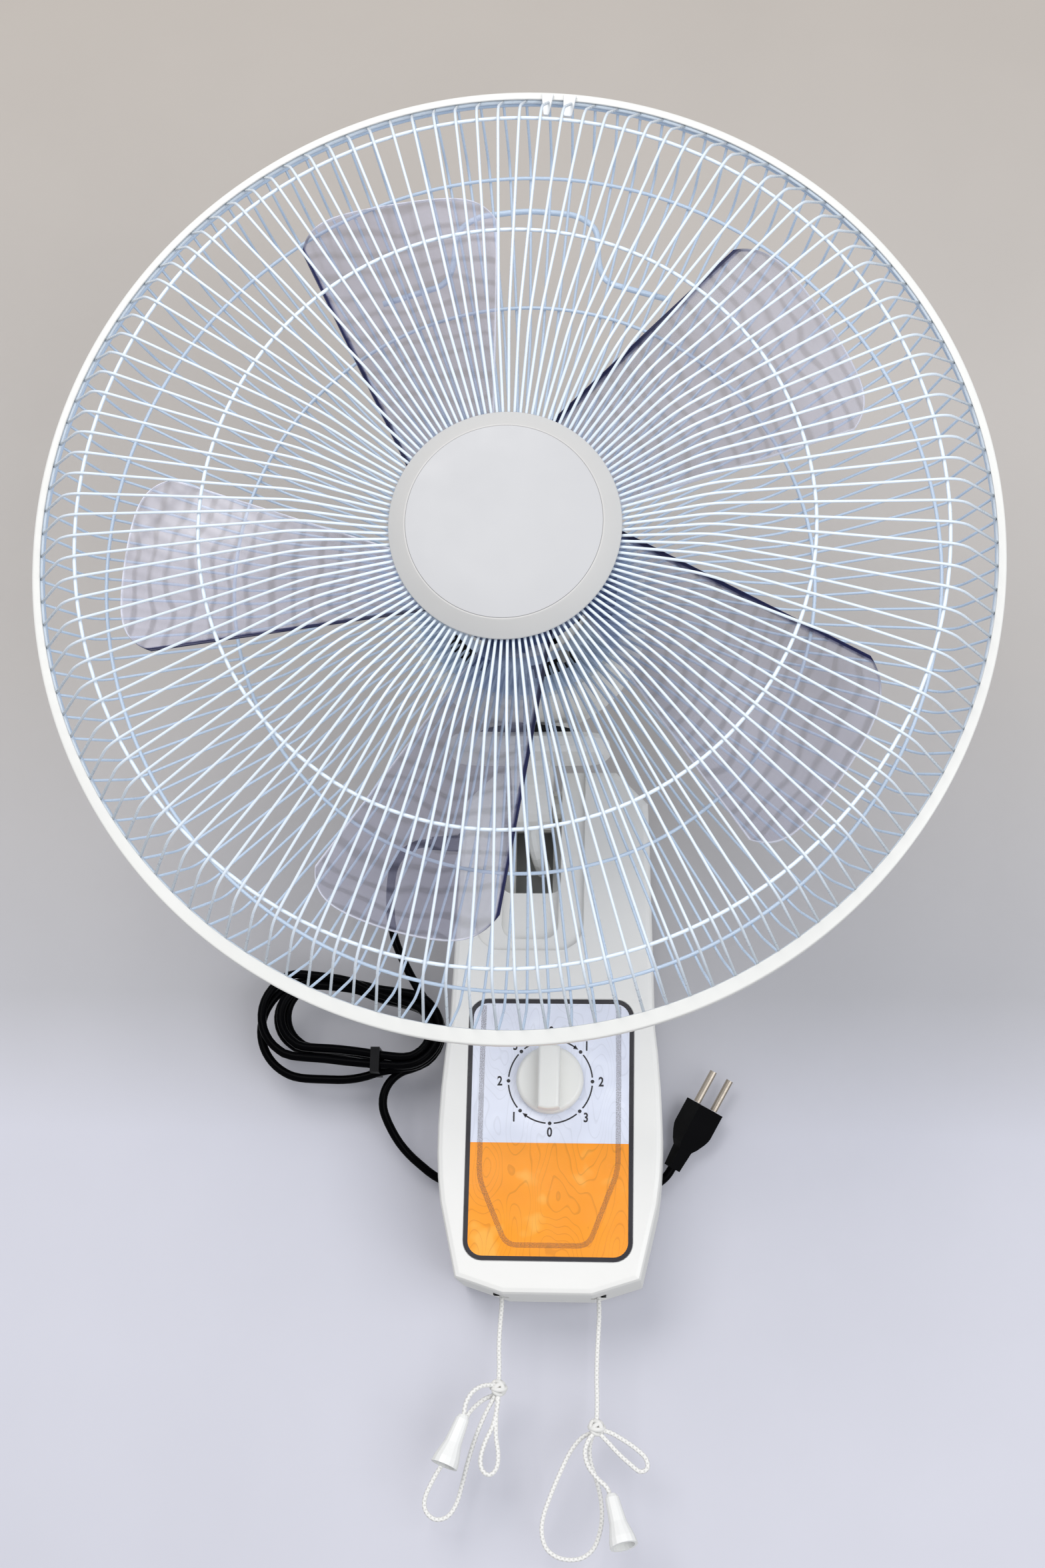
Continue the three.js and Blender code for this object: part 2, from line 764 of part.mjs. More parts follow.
const statorFront = motorFront + 10;
const statorRear = statorFront + statorLength;
const windingInner = rotorRadius + 4;
const windingOuter = motorRadius - 16;
place(
  fanFrame,
  "stator",
  turned(
    [
      [rotorRadius + 1, statorFront],
      [windingInner, statorFront],
      [windingInner + 2, statorFront - 5],
      [windingOuter, statorFront - 5],
      [windingOuter + 2, statorFront],
      [motorRadius - motorWall - 2 - clearance, statorFront],
      [motorRadius - motorWall - 2 - clearance, statorRear],
      [windingOuter + 2, statorRear],
      [windingOuter, statorRear + 3],
      [windingInner + 2, statorRear + 3],
      [windingInner, statorRear],
      [rotorRadius + 1, statorRear],
      [rotorRadius + 1, statorFront],
    ],
    24,
  ),
  copper,
);
place(fanFrame, "rotor", collar(shaftRadius + clearance, rotorRadius - 2, statorFront, statorRear, 24), steel);
const bearing = collar(shaftRadius + clearance, bearingRadius, 0, bearingLength, 24);
place(fanFrame, "front_bearing", bearing, brass, 0, motorFront + 0.001, 0);
place(fanFrame, "rear_bearing", bearing.clone(), brass, 0, motorSplit + 6, 0);

// Bridge across the back of the stator: it holds the rear bearing.
function makeBridge() {
  const front = motorSplit + clearance;
  const plate = turned(
    [
      [bearingRadius + clearance, front],
      [motorRadius - motorWall - 2, front],
      [motorRadius - motorWall - 2, front + 2.5],
      [bearingRadius + 3.3, front + 2.5],
      [bearingRadius + 3.3, motorSplit + 6 + bearingLength],
      [bearingRadius + clearance, motorSplit + 6 + bearingLength],
      [bearingRadius + clearance, front],
    ],
    24,
  );
  const windows = Array.from({ length: 4 }, (_, i) =>
    block(-12, 12, front - 1, front + 4, 22, motorRadius - 16).rotateY((i * Math.PI) / 2),
  );
  return cut(plate, ...windows);
}
place(fanFrame, "bearing_bridge", makeBridge(), zinc);
place(
  swingFrame,
  "swing_motor",
  rodZ(21, swingBossBottom + 22 + clearance, swingBossBottom + 22 + clearance + 13, 28),
  steel,
);

// ---------------------------------------------------------------- guard
// Depth of a bent wire at a radius, from its [radius, depth] corners.
function depthAt(corners, radius) {
  const end = corners.findIndex(([r]) => r >= radius);
  const [r0, d0] = corners[end - 1];
  const [r1, d1] = corners[end];
  return d0 + ((d1 - d0) * (radius - r0)) / (r1 - r0);
}

const clipAngle = Math.PI / 2 - Math.asin(22.25 / guardRadius);

function makeGuard(corners, plate, rimDepth) {
  const wire = bentWire(corners.map(([r, d]) => [r, d, 0]), wireRadius, 3);
  const wires = Array.from({ length: wireCount }, (_, i) =>
    wire.clone().rotateY(-clipAngle - ((i + 0.5) * 2 * Math.PI) / wireCount),
  );
  return join(plate, wireRing(rimRingCircle, rimDepth, rimRingRadius), ...wires);
}

const frontWire = [
  [frontPlateOuter - 3, frontPlateDepth],
  [frontKinkRadius, frontKinkDepth],
  [guardRadius - frontCornerInset, frontCornerDepth],
  [rimRingCircle, -rimRingDepth],
];
const rearWire = [
  [rearPlateOuter - 3, rearPlateDepth + plateThickness / 2],
  [rearDishRadius, rearDishDepth],
  [rearKinkRadius, rearKinkDepth],
  [guardRadius - rearCornerInset, rearCornerDepth],
  [rimRingCircle, rimRingDepth],
];
const frontPlate = collar(
  frontPlateInner,
  frontPlateOuter,
  frontPlateDepth - plateThickness / 2,
  frontPlateDepth + plateThickness / 2,
  wireCount / 1.5,
);
const rearPlate = cut(
  collar(rearPlateInner, rearPlateOuter, rearPlateDepth, rearPlateDepth + plateThickness, wireCount / 1.5),
  ...guardScrewAngles.map((angle) =>
    rodY(guardScrewRadius + clearance, rearPlateDepth - 1, rearPlateDepth + plateThickness + 1, 10)
      .translate(guardScrewCircle, 0, 0)
      .rotateY(angle),
  ),
);
place(fanFrame, "front_guard", makeGuard(frontWire, frontPlate, -rimRingDepth), guardWhite);
place(fanFrame, "rear_guard", makeGuard(rearWire, rearPlate, rimRingDepth), guardWhite);

// Support rings lie on the inside of the wires.
const seat = (wireRadius + ringRadius) * 1.12 + clearance;
[frontInnerRing, guardRadius - frontOuterRingInset].forEach((circle, i) => {
  const name = i ? "front_ring_outer" : "front_ring_inner";
  place(fanFrame, name, wireRing(circle, depthAt(frontWire, circle) + seat, ringRadius, 45), guardWhite);
});
[rearInnerRing, guardRadius - rearOuterRingInset].forEach((circle, i) => {
  const name = i ? "rear_ring_outer" : "rear_ring_inner";
  place(fanFrame, name, wireRing(circle, depthAt(rearWire, circle) - seat, ringRadius, 45), guardWhite);
});

guardScrewAngles.forEach((angle, i) => {
  const screw = join(
    rodY(guardScrewRadius, rearPlateDepth - 2, motorFront + motorWall + 1, 10),
    rodY(guardScrewRadius + 1.8, rearPlateDepth - clearance - 2.2, rearPlateDepth - clearance, 12),
  )
    .translate(guardScrewCircle, 0, 0)
    .rotateY(angle);
  place(fanFrame, "guard_screw_" + (i + 1), screw, zinc);
});

// Plastic band with a channel section that holds the two rim rings together.
const bandHalf = rimRingDepth + rimRingRadius + clearance;
const bandInner = guardRadius - bandThickness;
place(
  fanFrame,
  "rim_band",
  turned(
    [
      [guardRadius, -bandHalf - bandFlange],
      [guardRadius, bandHalf + bandFlange],
      [bandInner - bandLip, bandHalf + bandFlange],
      [bandInner - bandLip, bandHalf],
      [bandInner, bandHalf],
      [bandInner, -bandHalf],
      [bandInner - bandLip, -bandHalf],
      [bandInner - bandLip, -bandHalf - bandFlange],
      [guardRadius, -bandHalf - bandFlange],
    ],
    wireCount,
  ),
  guardWhite,
);

// Two clips hang from the band over the top of the front guard.
[-1, 1].forEach((side) => {
  const tab = new THREE.Shape();
  tab.moveTo(-2.8, guardRadius - 1.5);
  tab.lineTo(-1.6, guardRadius - 12.5);
  tab.lineTo(1.6, guardRadius - 12.5);
  tab.lineTo(2.8, guardRadius - 1.5);
  const front = -bandHalf - bandFlange - clearance;
  const clip = prismY(tab, front, front - 1.6).rotateY(Math.PI / 2 - clipAngle + side * 0.019);
  place(fanFrame, side < 0 ? "guard_clip_left" : "guard_clip_right", clip, guardWhite);
});

// Bent-wire loop at the top of the rear guard; its feet lie across the wires.
const loopTop = guardRadius - loopTopInset;
const footTop = guardRadius - loopFootInset;
const footDepth = depthAt(rearWire, Math.hypot(loopHalf + 4, footTop)) + 1.1 * wireRadius + clearance + loopWire;
const loopSide = [
  [loopHalf + 4 + loopFootLength, footDepth, footTop - loopFootDrop],
  [loopHalf + 4, footDepth, footTop],
  [loopHalf, footDepth + 0.6 * loopStand, footTop + 12],
  [loopHalf - 1, footDepth + loopStand, loopTop - 8],
  [loopHalf - 12, footDepth + loopStand, loopTop],
];
place(
  fanFrame,
  "guard_loop",
  bentWire(
    [...loopSide.map(([x, y, z]) => [-x, y, z]), [0, footDepth + loopStand, loopTop + 3], ...loopSide.toReversed()],
    loopWire,
    6,
  ),
  guardWhite,
);

// Cap over the middle of the front guard.
const capRear = depthAt(frontWire, capRadius) - wireRadius - clearance;
const capFront = capRear - capHeight;
place(
  fanFrame,
  "hub_cap",
  turned(
    [
      [0, capFront + discThickness + clearance + capWall],
      [capFaceRadius - capWall, capFront + discThickness + clearance + capWall],
      [capRadius - capWall, capRear],
      [capRadius, capRear],
      [capRadius, capRear - 1.5],
      [capFaceRadius + 1, capFront],
      [capFaceRadius + clearance, capFront],
      [capFaceRadius + clearance, capFront + discThickness + clearance],
      [0, capFront + discThickness + clearance],
    ],
    32,
  ),
  capGrey,
);
place(
  fanFrame,
  "hub_disc",
  turned(
    [
      [0, capFront + discThickness],
      [capFaceRadius, capFront + discThickness],
      [capFaceRadius, capFront],
      [0, capFront],
    ],
    32,
  ),
  capGrey,
);

// ---------------------------------------------------------------- impeller
// Angle of a blade edge whose line passes the axis at offset, at a radius.
const edgeAngle = (offset, radius) => Math.asin(offset / radius) - Math.asin(offset / bladeRadius);

// Middle surface of a blade: u runs out from the hub, v from the trailing to the leading edge.
function bladePoint(u, v) {
  const corner = 14 * Math.max(0, Math.abs(2 * v - 1) ** 6);
  const root = hubRadius - 4;
  const r = root + (bladeRadius - corner - root) * u;
  const trailing = THREE.MathUtils.degToRad(bladePhase) + edgeAngle(trailingOffset, r);
  const leading = THREE.MathUtils.degToRad(bladePhase - bladeTipAngle) + edgeAngle(leadingOffset, r);
  const angle = trailing + (leading - trailing) * v;
  const camber = 5 * Math.sin(Math.PI * v);
  const depth = bladeFront + (bladeRear - bladeFront) * v + camber;
  return new THREE.Vector3(r * Math.cos(angle), depth, r * Math.sin(angle));
}

function makeBlade() {
  const [across, along] = [6, 5];
  const corners = [];
  const thickness = new THREE.Vector3(0, bladeThickness / 2, 0);
  [-1, 1].forEach((face) => {
    for (let i = 0; i <= along; i++)
      for (let j = 0; j <= across; j++) corners.push(bladePoint(i / along, j / across).addScaledVector(thickness, face));
  });
  const at = (face, i, j) => face * (along + 1) * (across + 1) + i * (across + 1) + j;
  const faces = [];
  const quad = (a, b, c, d) => faces.push(a, c, b, a, d, c);
  for (let i = 0; i < along; i++)
    for (let j = 0; j < across; j++) {
      quad(at(0, i, j), at(0, i + 1, j), at(0, i + 1, j + 1), at(0, i, j + 1));
      quad(at(1, i, j), at(1, i, j + 1), at(1, i + 1, j + 1), at(1, i + 1, j));
    }
  for (let i = 0; i < along; i++) {
    quad(at(0, i, 0), at(1, i, 0), at(1, i + 1, 0), at(0, i + 1, 0));
    quad(at(0, i, across), at(0, i + 1, across), at(1, i + 1, across), at(1, i, across));
  }
  for (let j = 0; j < across; j++) {
    quad(at(0, 0, j), at(0, 0, j + 1), at(1, 0, j + 1), at(1, 0, j));
    quad(at(0, along, j), at(1, along, j), at(1, along, j + 1), at(0, along, j + 1));
  }
  return new THREE.BufferGeometry().setFromPoints(corners).setIndex(faces);
}

function makeImpeller() {
  const hub = turned(
    [
      [shaftRadius + clearance, hubFront],
      [hubRadius - 6, hubFront],
      [hubRadius, hubFront + 6],
      [hubRadius, hubRear],
      [hubRadius - hubWall, hubRear],
      [hubRadius - hubWall, hubFront + 7],
      [hubRadius - 7, hubFront + hubWall],
      [shaftRadius + hubBoreWall, hubFront + hubWall],
      [shaftRadius + hubBoreWall, hubRear],
      [shaftRadius + clearance, hubRear],
      [shaftRadius + clearance, hubFront],
    ],
    30,
  );
  const blade = makeBlade();
  const blades = Array.from({ length: bladeCount }, (_, i) => blade.clone().rotateY((-i * 2 * Math.PI) / bladeCount));
  const inner = collar(
    shaftRadius + hubBoreWall,
    hubRadius - hubWall,
    hubFront + hubWall + 1,
    hubRear + 20,
    30,
  );
  const trimmed = blades.map((one) => cut(one, inner));
  const pinSlot = block(-hubRadius / 3, hubRadius / 3, hubRear - 5, hubRear + 5, -drivePinRadius - clearance, drivePinRadius + clearance);
  return cut(join(hub, ...trimmed), pinSlot);
}

place(fanFrame, "impeller", makeImpeller(), clearBlue);
const nutRear = hubFront - clearance;
place(
  fanFrame,
  "spinner_nut",
  turned(
    [
      [shaftRadius + clearance, nutRear],
      [nutRadius, nutRear],
      [nutRadius, nutRear - nutLength * 0.4],
      [nutRadius - 4, nutRear - nutLength * 0.8],
      [nutRadius - 10, nutRear - nutLength],
      [0, nutRear - nutLength],
      [0, nutRear - nutLength + 4],
      [shaftRadius + clearance, nutRear - nutLength + 4],
      [shaftRadius + clearance, nutRear],
    ],
    20,
  ),
  capGrey,
);
place(
  fanFrame,
  "motor_shaft",
  cut(
    rodY(shaftRadius, nutRear - nutLength + 4 + clearance, shaftRear, 20),
    rodX(drivePinRadius + clearance, -20, 20, 12).translate(0, hubRear - 2, 0),
  ),
  steel,
);
place(fanFrame, "drive_pin", rodX(drivePinRadius, -10, 10, 12), steel, 0, hubRear - 2, 0);

// ---------------------------------------------------------------- pull switches and their cords
const rodTop = pullBodyBottom + pullTravel + 12;
const rodBottom = rodTop - pullRodLength;

function makePullBody() {
  const half = pullBodyWidth / 2;
  const rear = pullDepth + baseRear - backPlateThickness - clearance;
  const body = block(-half, half, -half, rear, pullBodyBottom, pullBodyBottom + pullBodyHeight);
  return cut(body, rodZ(pullRodRadius + clearance, pullBodyBottom - 5, rodTop + 2, 16));
}

function teardrop(length, halfWidth, top = 0) {
  const shape = new THREE.Shape();
  shape.moveTo(0, top);
  shape.quadraticCurveTo(halfWidth * 0.3, -length * 0.45, halfWidth, -length + halfWidth);
  shape.absarc(0, -length + halfWidth, halfWidth, 0, -Math.PI, true);
  shape.quadraticCurveTo(-halfWidth * 0.3, -length * 0.45, 0, top);
  return shape;
}

// Knot with one wide and one narrow loop of cord, and the strand that the bell hangs on.
function makeBow(wide, narrow, strand) {
  const across = 2 * pullCordRadius;
  const loops = [wide, narrow].map(({ length, halfWidth, lean, y }) => {
    const filled = prismY(teardrop(length, halfWidth), y + pullCordRadius, y - pullCordRadius);
    const eye = prismY(teardrop(length - across, halfWidth - across, -length * 0.35), y + across, y - across);
    return cut(filled, eye).rotateY(THREE.MathUtils.degToRad(lean));
  });
  const knot = new THREE.SphereGeometry(knotRadius, 8, 5);
  return join(knot, ...loops, tube(strand, 6, pullCordRadius, pullCordRadius, 6));
}

// A bell hangs from the origin; its mouth leans to the right by lean and forward by nod.
function makeBell(lean, nod) {
  return turned(
    [
      [0, 0],
      [2.6, 0],
      [3.6, 2],
      [4.6, bellLength * 0.55],
      [bellRadius - 0.5, bellLength * 0.85],
      [bellRadius, bellLength],
      [bellRadius - bellWall, bellLength],
      [bellRadius - 0.5 - bellWall, bellLength * 0.85],
      [4.6 - bellWall, bellLength * 0.5],
      [0, bellLength * 0.4],
    ],
    16,
  )
    .rotateX(-Math.PI / 2)
    .rotateX(THREE.MathUtils.degToRad(-nod))
    .rotateY(THREE.MathUtils.degToRad(-lean));
}

const pulls = [
  {
    name: "speed",
    x: -pullSpacing / 2,
    drop: 47,
    wide: { length: 64, halfWidth: 15, lean: 28, y: 2.6 },
    narrow: { length: 44, halfWidth: 5.5, lean: 4, y: -0.2 },
    strand: [[0, 0, 0], [-7, -4, 2], [-12, -8, -1], [-14.5, -10.5, -7], [-17, -11.8, -13.5]],
    bell: { lean: -20, nod: 10 },
  },
  {
    name: "swing",
    x: pullSpacing / 2,
    drop: 66,
    wide: { length: 68, halfWidth: 17, lean: 12, y: 2.6 },
    narrow: { length: 32, halfWidth: 5.5, lean: -58, y: -0.2 },
    strand: [[0, 0, 0], [1, -4, -5], [3, -7.5, -14], [5.4, -9.5, -24], [8, -12.4, -32]],
    bell: { lean: 16, nod: 19 },
  },
];

pulls.forEach(({ name, x, drop, wide, narrow, strand, bell }) => {
  const y = -pullDepth;
  const knotHeight = baseBottom - drop;
  place(fan, name + "_pull_switch", makePullBody(), grey, x, y, 0);
  place(fan, name + "_pull_rod", rodZ(pullRodRadius, rodBottom, rodTop, 16), guardWhite, x, y, 0);
  const cordTop = rodBottom - clearance;
  const cordEnd = knotHeight + knotRadius + clearance;
  place(
    fan,
    name + "_cord",
    tube([[x, y, cordTop], [x, y, (cordTop + cordEnd) / 2], [x, y, cordEnd]], 6, pullCordRadius),
    cordWhite,
  );
  place(fan, name + "_bow", makeBow(wide, narrow, strand), cordWhite, x, y, knotHeight);
  const [sx, sy, sz] = strand[strand.length - 1];
  place(fan, name + "_bell", makeBell(bell.lean, bell.nod), cordWhite, x + sx, y + sy, knotHeight + sz - 2 * clearance);
});

// ---------------------------------------------------------------- mains cord
const wallLeft = -(shoulderWidth / 2 + 0.7); // outside of the base's left wall at the gland
place(
  fan,
  "cord_gland",
  turned(
    [
      [cordWidth / 2 + clearance, -6],
      [glandRadius - 1, -6],
      [glandRadius - 1, clearance],
      [glandRadius + 1.5, clearance],
      [glandRadius + 1.5, 3],
      [glandRadius - 1.2, 5],
      [cordWidth / 2 + 1.4, reliefLength],
      [cordWidth / 2 + clearance, reliefLength],
      [cordWidth / 2 + clearance, -6],
    ],
    16,
  ).rotateZ(Math.PI / 2),
  black,
  wallLeft - 0.4,
  -glandDepth,
  glandHeight,
);

const [hankX, hankY, hankZ] = hankMiddle;
const hankTop = hankZ + hankHeight / 2;
const exitX = hankX + hankExit;
const cordStart = wallLeft + 4;
place(
  fan,
  "mains_cord",
  tube(
    [
      [cordStart, -glandDepth, glandHeight],
      [-66, -glandDepth, glandHeight],
      [-75.5, -glandDepth, glandHeight],
      [-85, -glandDepth, glandHeight - 3],
      [-91.8, -glandDepth, glandHeight - 10.4],
      [-94.8, -glandDepth, glandHeight - 21.5],
      [-94.8, -glandDepth, glandHeight - 36],
      [-92.6, hankY, glandHeight - 52],
      [exitX - 1.5, hankY, hankTop + 12],
      [exitX, hankY, hankTop + clearance],
    ],
    26,
    cordWidth / 2,
  ),
  black,
);

const stadium = (length, height) => roundedRect(-length / 2, -height / 2, length / 2, height / 2, height / 2 - 0.01);
const hankShape = stadium(hankLength, hankHeight);
hankShape.holes.push(stadium(hankLength - 2 * hankBundle, hankHeight - 2 * hankBundle));
place(fan, "mains_hank", prismY(hankShape, hankDepth / 2, -hankDepth / 2), black, hankX, hankY, hankZ);

// Tie round the lower runs of the hank; the plug's end of the cord leaves there.
const runLow = hankHeight / 2;
const tieOuter = [hankDepth / 2 + clearance + tieThickness, runLow - hankBundle - clearance - tieThickness];
place(
  fan,
  "hank_tie",
  cut(
    block(-tieWidth / 2, tieWidth / 2, -tieOuter[0], tieOuter[0], -runLow - clearance - tieThickness, -tieOuter[1]),
    block(
      -tieWidth,
      tieWidth,
      -hankDepth / 2 - clearance,
      hankDepth / 2 + clearance,
      -runLow - clearance,
      -runLow + hankBundle + clearance,
    ),
  ),
  guardWhite,
  exitX - 12,
  hankY,
  hankZ,
);

place(
  fan,
  "plug_cord",
  tube(
    [
      [exitX, hankY, hankZ - runLow - 2 * clearance],
      [exitX - 0.2, hankY, hankZ - runLow - 4],
      [-89.6, hankY, -62],
      [-91, hankY + 0.6, -72],
      [-89.2, -20, -84.5],
      [-82.4, -14.6, -96],
      [-72.4, -9, -104.6],
      [-60, -5, -109.2],
      [-48, -3.5, -110.3],
      [-28, -3.1, -110.3],
      [20, -3.3, -110.3],
      [38, -4.1, -110.3],
      [46.4, -4.8, -110.2],
      [54, -5.6, -108.6],
      [60, -6.4, -104.8],
      plugTop,
    ],
    40,
    cordWidth / 2,
  ),
  black,
);

function makePlug() {
  const half = plugWidth / 2;
  const body = new THREE.Shape();
  body.moveTo(-3.6, 0);
  body.lineTo(3.6, 0);
  body.lineTo(4.4, -12);
  body.quadraticCurveTo(half - 1, -16, half, -24);
  body.lineTo(half, -plugLength);
  body.lineTo(-half, -plugLength);
  body.lineTo(-half, -24);
  body.quadraticCurveTo(-half + 1, -16, -4.4, -12);
  const flat = prismY(body, plugThickness / 2, -plugThickness / 2);
  const sideView = new THREE.Shape();
  sideView.moveTo(-3, 1);
  sideView.lineTo(3, 1);
  sideView.lineTo(3.4, -12);
  sideView.lineTo(plugThickness / 2, -22);
  sideView.lineTo(plugThickness / 2, -plugLength - 1);
  sideView.lineTo(-plugThickness / 2, -plugLength - 1);
  sideView.lineTo(-plugThickness / 2, -22);
  sideView.lineTo(-3.4, -12);
  return toGeometry(toSolid(flat).intersect(toSolid(prismX(sideView, -half - 1, half + 1))));
}
const plug = new THREE.Group();
plug.position.set(...plugTop);
plug.rotation.set(
  THREE.MathUtils.degToRad(-plugNod),
  THREE.MathUtils.degToRad(180 + plugLean),
  THREE.MathUtils.degToRad(plugRoll),
  "YXZ",
);
fan.add(plug);
place(plug, "plug_body", makePlug(), black, 0, 0, -2 * clearance);
[-1, 1].forEach((side) => {
  const pin = rodZ(plugPinRadius, -plugPinLength, 0, 12);
  const name = side < 0 ? "plug_pin_left" : "plug_pin_right";
  place(plug, name, pin, brass, (side * plugPinSpacing) / 2, 0, -plugLength - 3 * clearance);
});

export default fan;
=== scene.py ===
"""Looks of the wall mounted fan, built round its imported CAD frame. Metres, +Z up, the wall is y = 0."""

import math

import bpy
import numpy as np
from mathutils import Matrix, Vector


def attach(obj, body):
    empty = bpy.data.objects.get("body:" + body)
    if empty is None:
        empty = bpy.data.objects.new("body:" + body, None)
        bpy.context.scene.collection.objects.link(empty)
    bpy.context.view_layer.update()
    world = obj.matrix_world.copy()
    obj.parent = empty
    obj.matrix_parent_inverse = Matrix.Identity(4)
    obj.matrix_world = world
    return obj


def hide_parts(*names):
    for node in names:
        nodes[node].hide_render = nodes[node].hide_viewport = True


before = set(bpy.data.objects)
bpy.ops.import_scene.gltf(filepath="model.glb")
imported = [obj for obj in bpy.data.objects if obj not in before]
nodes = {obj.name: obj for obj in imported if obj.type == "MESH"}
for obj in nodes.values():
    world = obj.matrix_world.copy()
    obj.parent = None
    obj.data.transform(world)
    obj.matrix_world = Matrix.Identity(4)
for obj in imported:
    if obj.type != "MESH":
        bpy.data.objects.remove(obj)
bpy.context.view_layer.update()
MM = 0.001

# The fan head's own frame: x to the right, depth along the fan axis towards the wall, height across it.
TILT = math.radians(8)
RIM = np.array([-0.013, -0.230522, 0.17307])
DEPTH = np.array([0, math.cos(TILT), math.sin(TILT)])
HEIGHT = np.array([0, -math.sin(TILT), math.cos(TILT)])


# ---- camera, stage and light
def make_camera():
    data = bpy.data.cameras.new("camera")
    data.lens, data.sensor_width = 50, 36
    camera = bpy.data.objects.new("camera", data)
    bpy.context.scene.collection.objects.link(camera)
    right = Vector((0.9973, 0.0699, 0.0216))
    forward = Vector((-0.0732, 0.9514, 0.2990))
    up = Vector((0.0003, -0.2998, 0.9540))
    place = Matrix((right, up, -forward)).transposed().to_4x4()
    place.translation = (0.0705, -1.217, -0.2573)
    camera.matrix_world = place
    bpy.context.scene.camera = camera


def area_light(name, position, target, size, power, color):
    data = bpy.data.lights.new(name, "AREA")
    data.shape, data.size, data.energy, data.color = "SQUARE", size, power, color
    light = bpy.data.objects.new(name, data)
    light.location = position
    light.rotation_mode = "QUATERNION"
    light.rotation_quaternion = (Vector(target) - Vector(position)).to_track_quat("-Z", "Y")
    bpy.context.scene.collection.objects.link(light)
    return light


# ---- materials
def node_tree(name):
    material = bpy.data.materials.new(name)
    material.use_nodes = True
    tree = material.node_tree
    shader = tree.nodes["Principled BSDF"]
    return material, tree, shader


def link(tree, source, target):
    tree.links.new(source, target)


def object_position(tree):
    return tree.nodes.new("ShaderNodeTexCoord").outputs["Object"]


def noise(tree, scale, detail=3, stretch=None):
    position = object_position(tree)
    texture = tree.nodes.new("ShaderNodeTexNoise")
    texture.inputs["Scale"].default_value = scale
    texture.inputs["Detail"].default_value = detail
    texture.inputs["Roughness"].default_value = 0.55
    if stretch:
        mapping = tree.nodes.new("ShaderNodeMapping")
        mapping.inputs["Scale"].default_value = stretch
        link(tree, position, mapping.inputs["Vector"])
        position = mapping.outputs["Vector"]
    link(tree, position, texture.inputs["Vector"])
    return texture.outputs["Fac"]


def ramp(tree, factor, stops):
    node = tree.nodes.new("ShaderNodeValToRGB")
    elements = node.color_ramp.elements
    elements[0].position, elements[0].color = stops[0][0], (*stops[0][1], 1)
    elements[1].position, elements[1].color = stops[-1][0], (*stops[-1][1], 1)
    for position, color in stops[1:-1]:
        elements.new(position).color = (*color, 1)
    link(tree, factor, node.inputs["Fac"])
    return node.outputs["Color"]


def math_node(tree, operation, a, b=None):
    node = tree.nodes.new("ShaderNodeMath")
    node.operation = operation
    for i, value in enumerate((a, b)):
        if isinstance(value, (int, float)):
            node.inputs[i].default_value = value
        elif value is not None:
            link(tree, value, node.inputs[i])
    return node.outputs[0]


def mix_colors(tree, factor, a, b, blend="MIX"):
    """Two colours, each a socket or a plain one, mixed by a socket or a number."""
    node = tree.nodes.new("ShaderNodeMix")
    node.data_type = "RGBA"
    node.blend_type = blend
    for name, value in (("Factor", factor), ("A", a), ("B", b)):
        if isinstance(value, tuple):
            node.inputs[name].default_value = (*value, 1)
        elif isinstance(value, (int, float)):
            node.inputs[name].default_value = value
        else:
            link(tree, value, node.inputs[name])
    return node.outputs["Result"]


def attribute(tree, name):
    node = tree.nodes.new("ShaderNodeAttribute")
    node.attribute_name = name
    return node.outputs["Fac"]


def to_range(tree, factor, low, high, from_low=0.0, from_high=1.0):
    node = tree.nodes.new("ShaderNodeMapRange")
    node.inputs["From Min"].default_value = from_low
    node.inputs["From Max"].default_value = from_high
    node.inputs["To Min"].default_value = low
    node.inputs["To Max"].default_value = high
    link(tree, factor, node.inputs["Value"])
    return node.outputs["Result"]


def bump(tree, shader, height, strength, distance, soft_edge=0.0):
    node = tree.nodes.new("ShaderNodeBump")
    node.inputs["Strength"].default_value = strength
    node.inputs["Distance"].default_value = distance
    link(tree, height, node.inputs["Height"])
    if soft_edge:
        edge = tree.nodes.new("ShaderNodeBevel")
        edge.samples = 4
        edge.inputs["Radius"].default_value = soft_edge
        link(tree, edge.outputs["Normal"], node.inputs["Normal"])
    link(tree, node.outputs["Normal"], shader.inputs["Normal"])


def shade(color, by):
    return tuple(min(1, c * by) for c in color)


def plastic(name, color, roughness=0.4, grain=900, depth=0.00004, soft_edge=0.0, cloud=0.04, specular=0.5):
    """Moulded plastic: a fine grain, and slow changes of colour and gloss."""
    material, tree, shader = node_tree(name)
    tones = [(0.3, shade(color, 1 - cloud)), (0.7, shade(color, 1 + cloud))]
    link(tree, ramp(tree, noise(tree, 14), tones), shader.inputs["Base Color"])
    gloss = to_range(tree, noise(tree, 60, 4), roughness - 0.07, roughness + 0.07, 0.3, 0.7)
    link(tree, gloss, shader.inputs["Roughness"])
    shader.inputs["IOR"].default_value = 1.5
    shader.inputs["Specular IOR Level"].default_value = specular
    bump(tree, shader, noise(tree, grain, 2), 0.25, depth, soft_edge)
    return material


def painted_wire(name, color):
    """Thick powder coat on wire, with a slight orange peel."""
    material, tree, shader = node_tree(name)
    slow = noise(tree, 22, 2)
    link(tree, ramp(tree, slow, [(0.35, shade(color, 0.96)), (0.65, color)]), shader.inputs["Base Color"])
    link(tree, to_range(tree, noise(tree, 300, 2), 0.24, 0.38, 0.3, 0.7), shader.inputs["Roughness"])
    shader.inputs["Coat Weight"].default_value = 0.25
    shader.inputs["Coat Roughness"].default_value = 0.15
    bump(tree, shader, noise(tree, 1400, 2), 0.3, 0.00005)
    return material


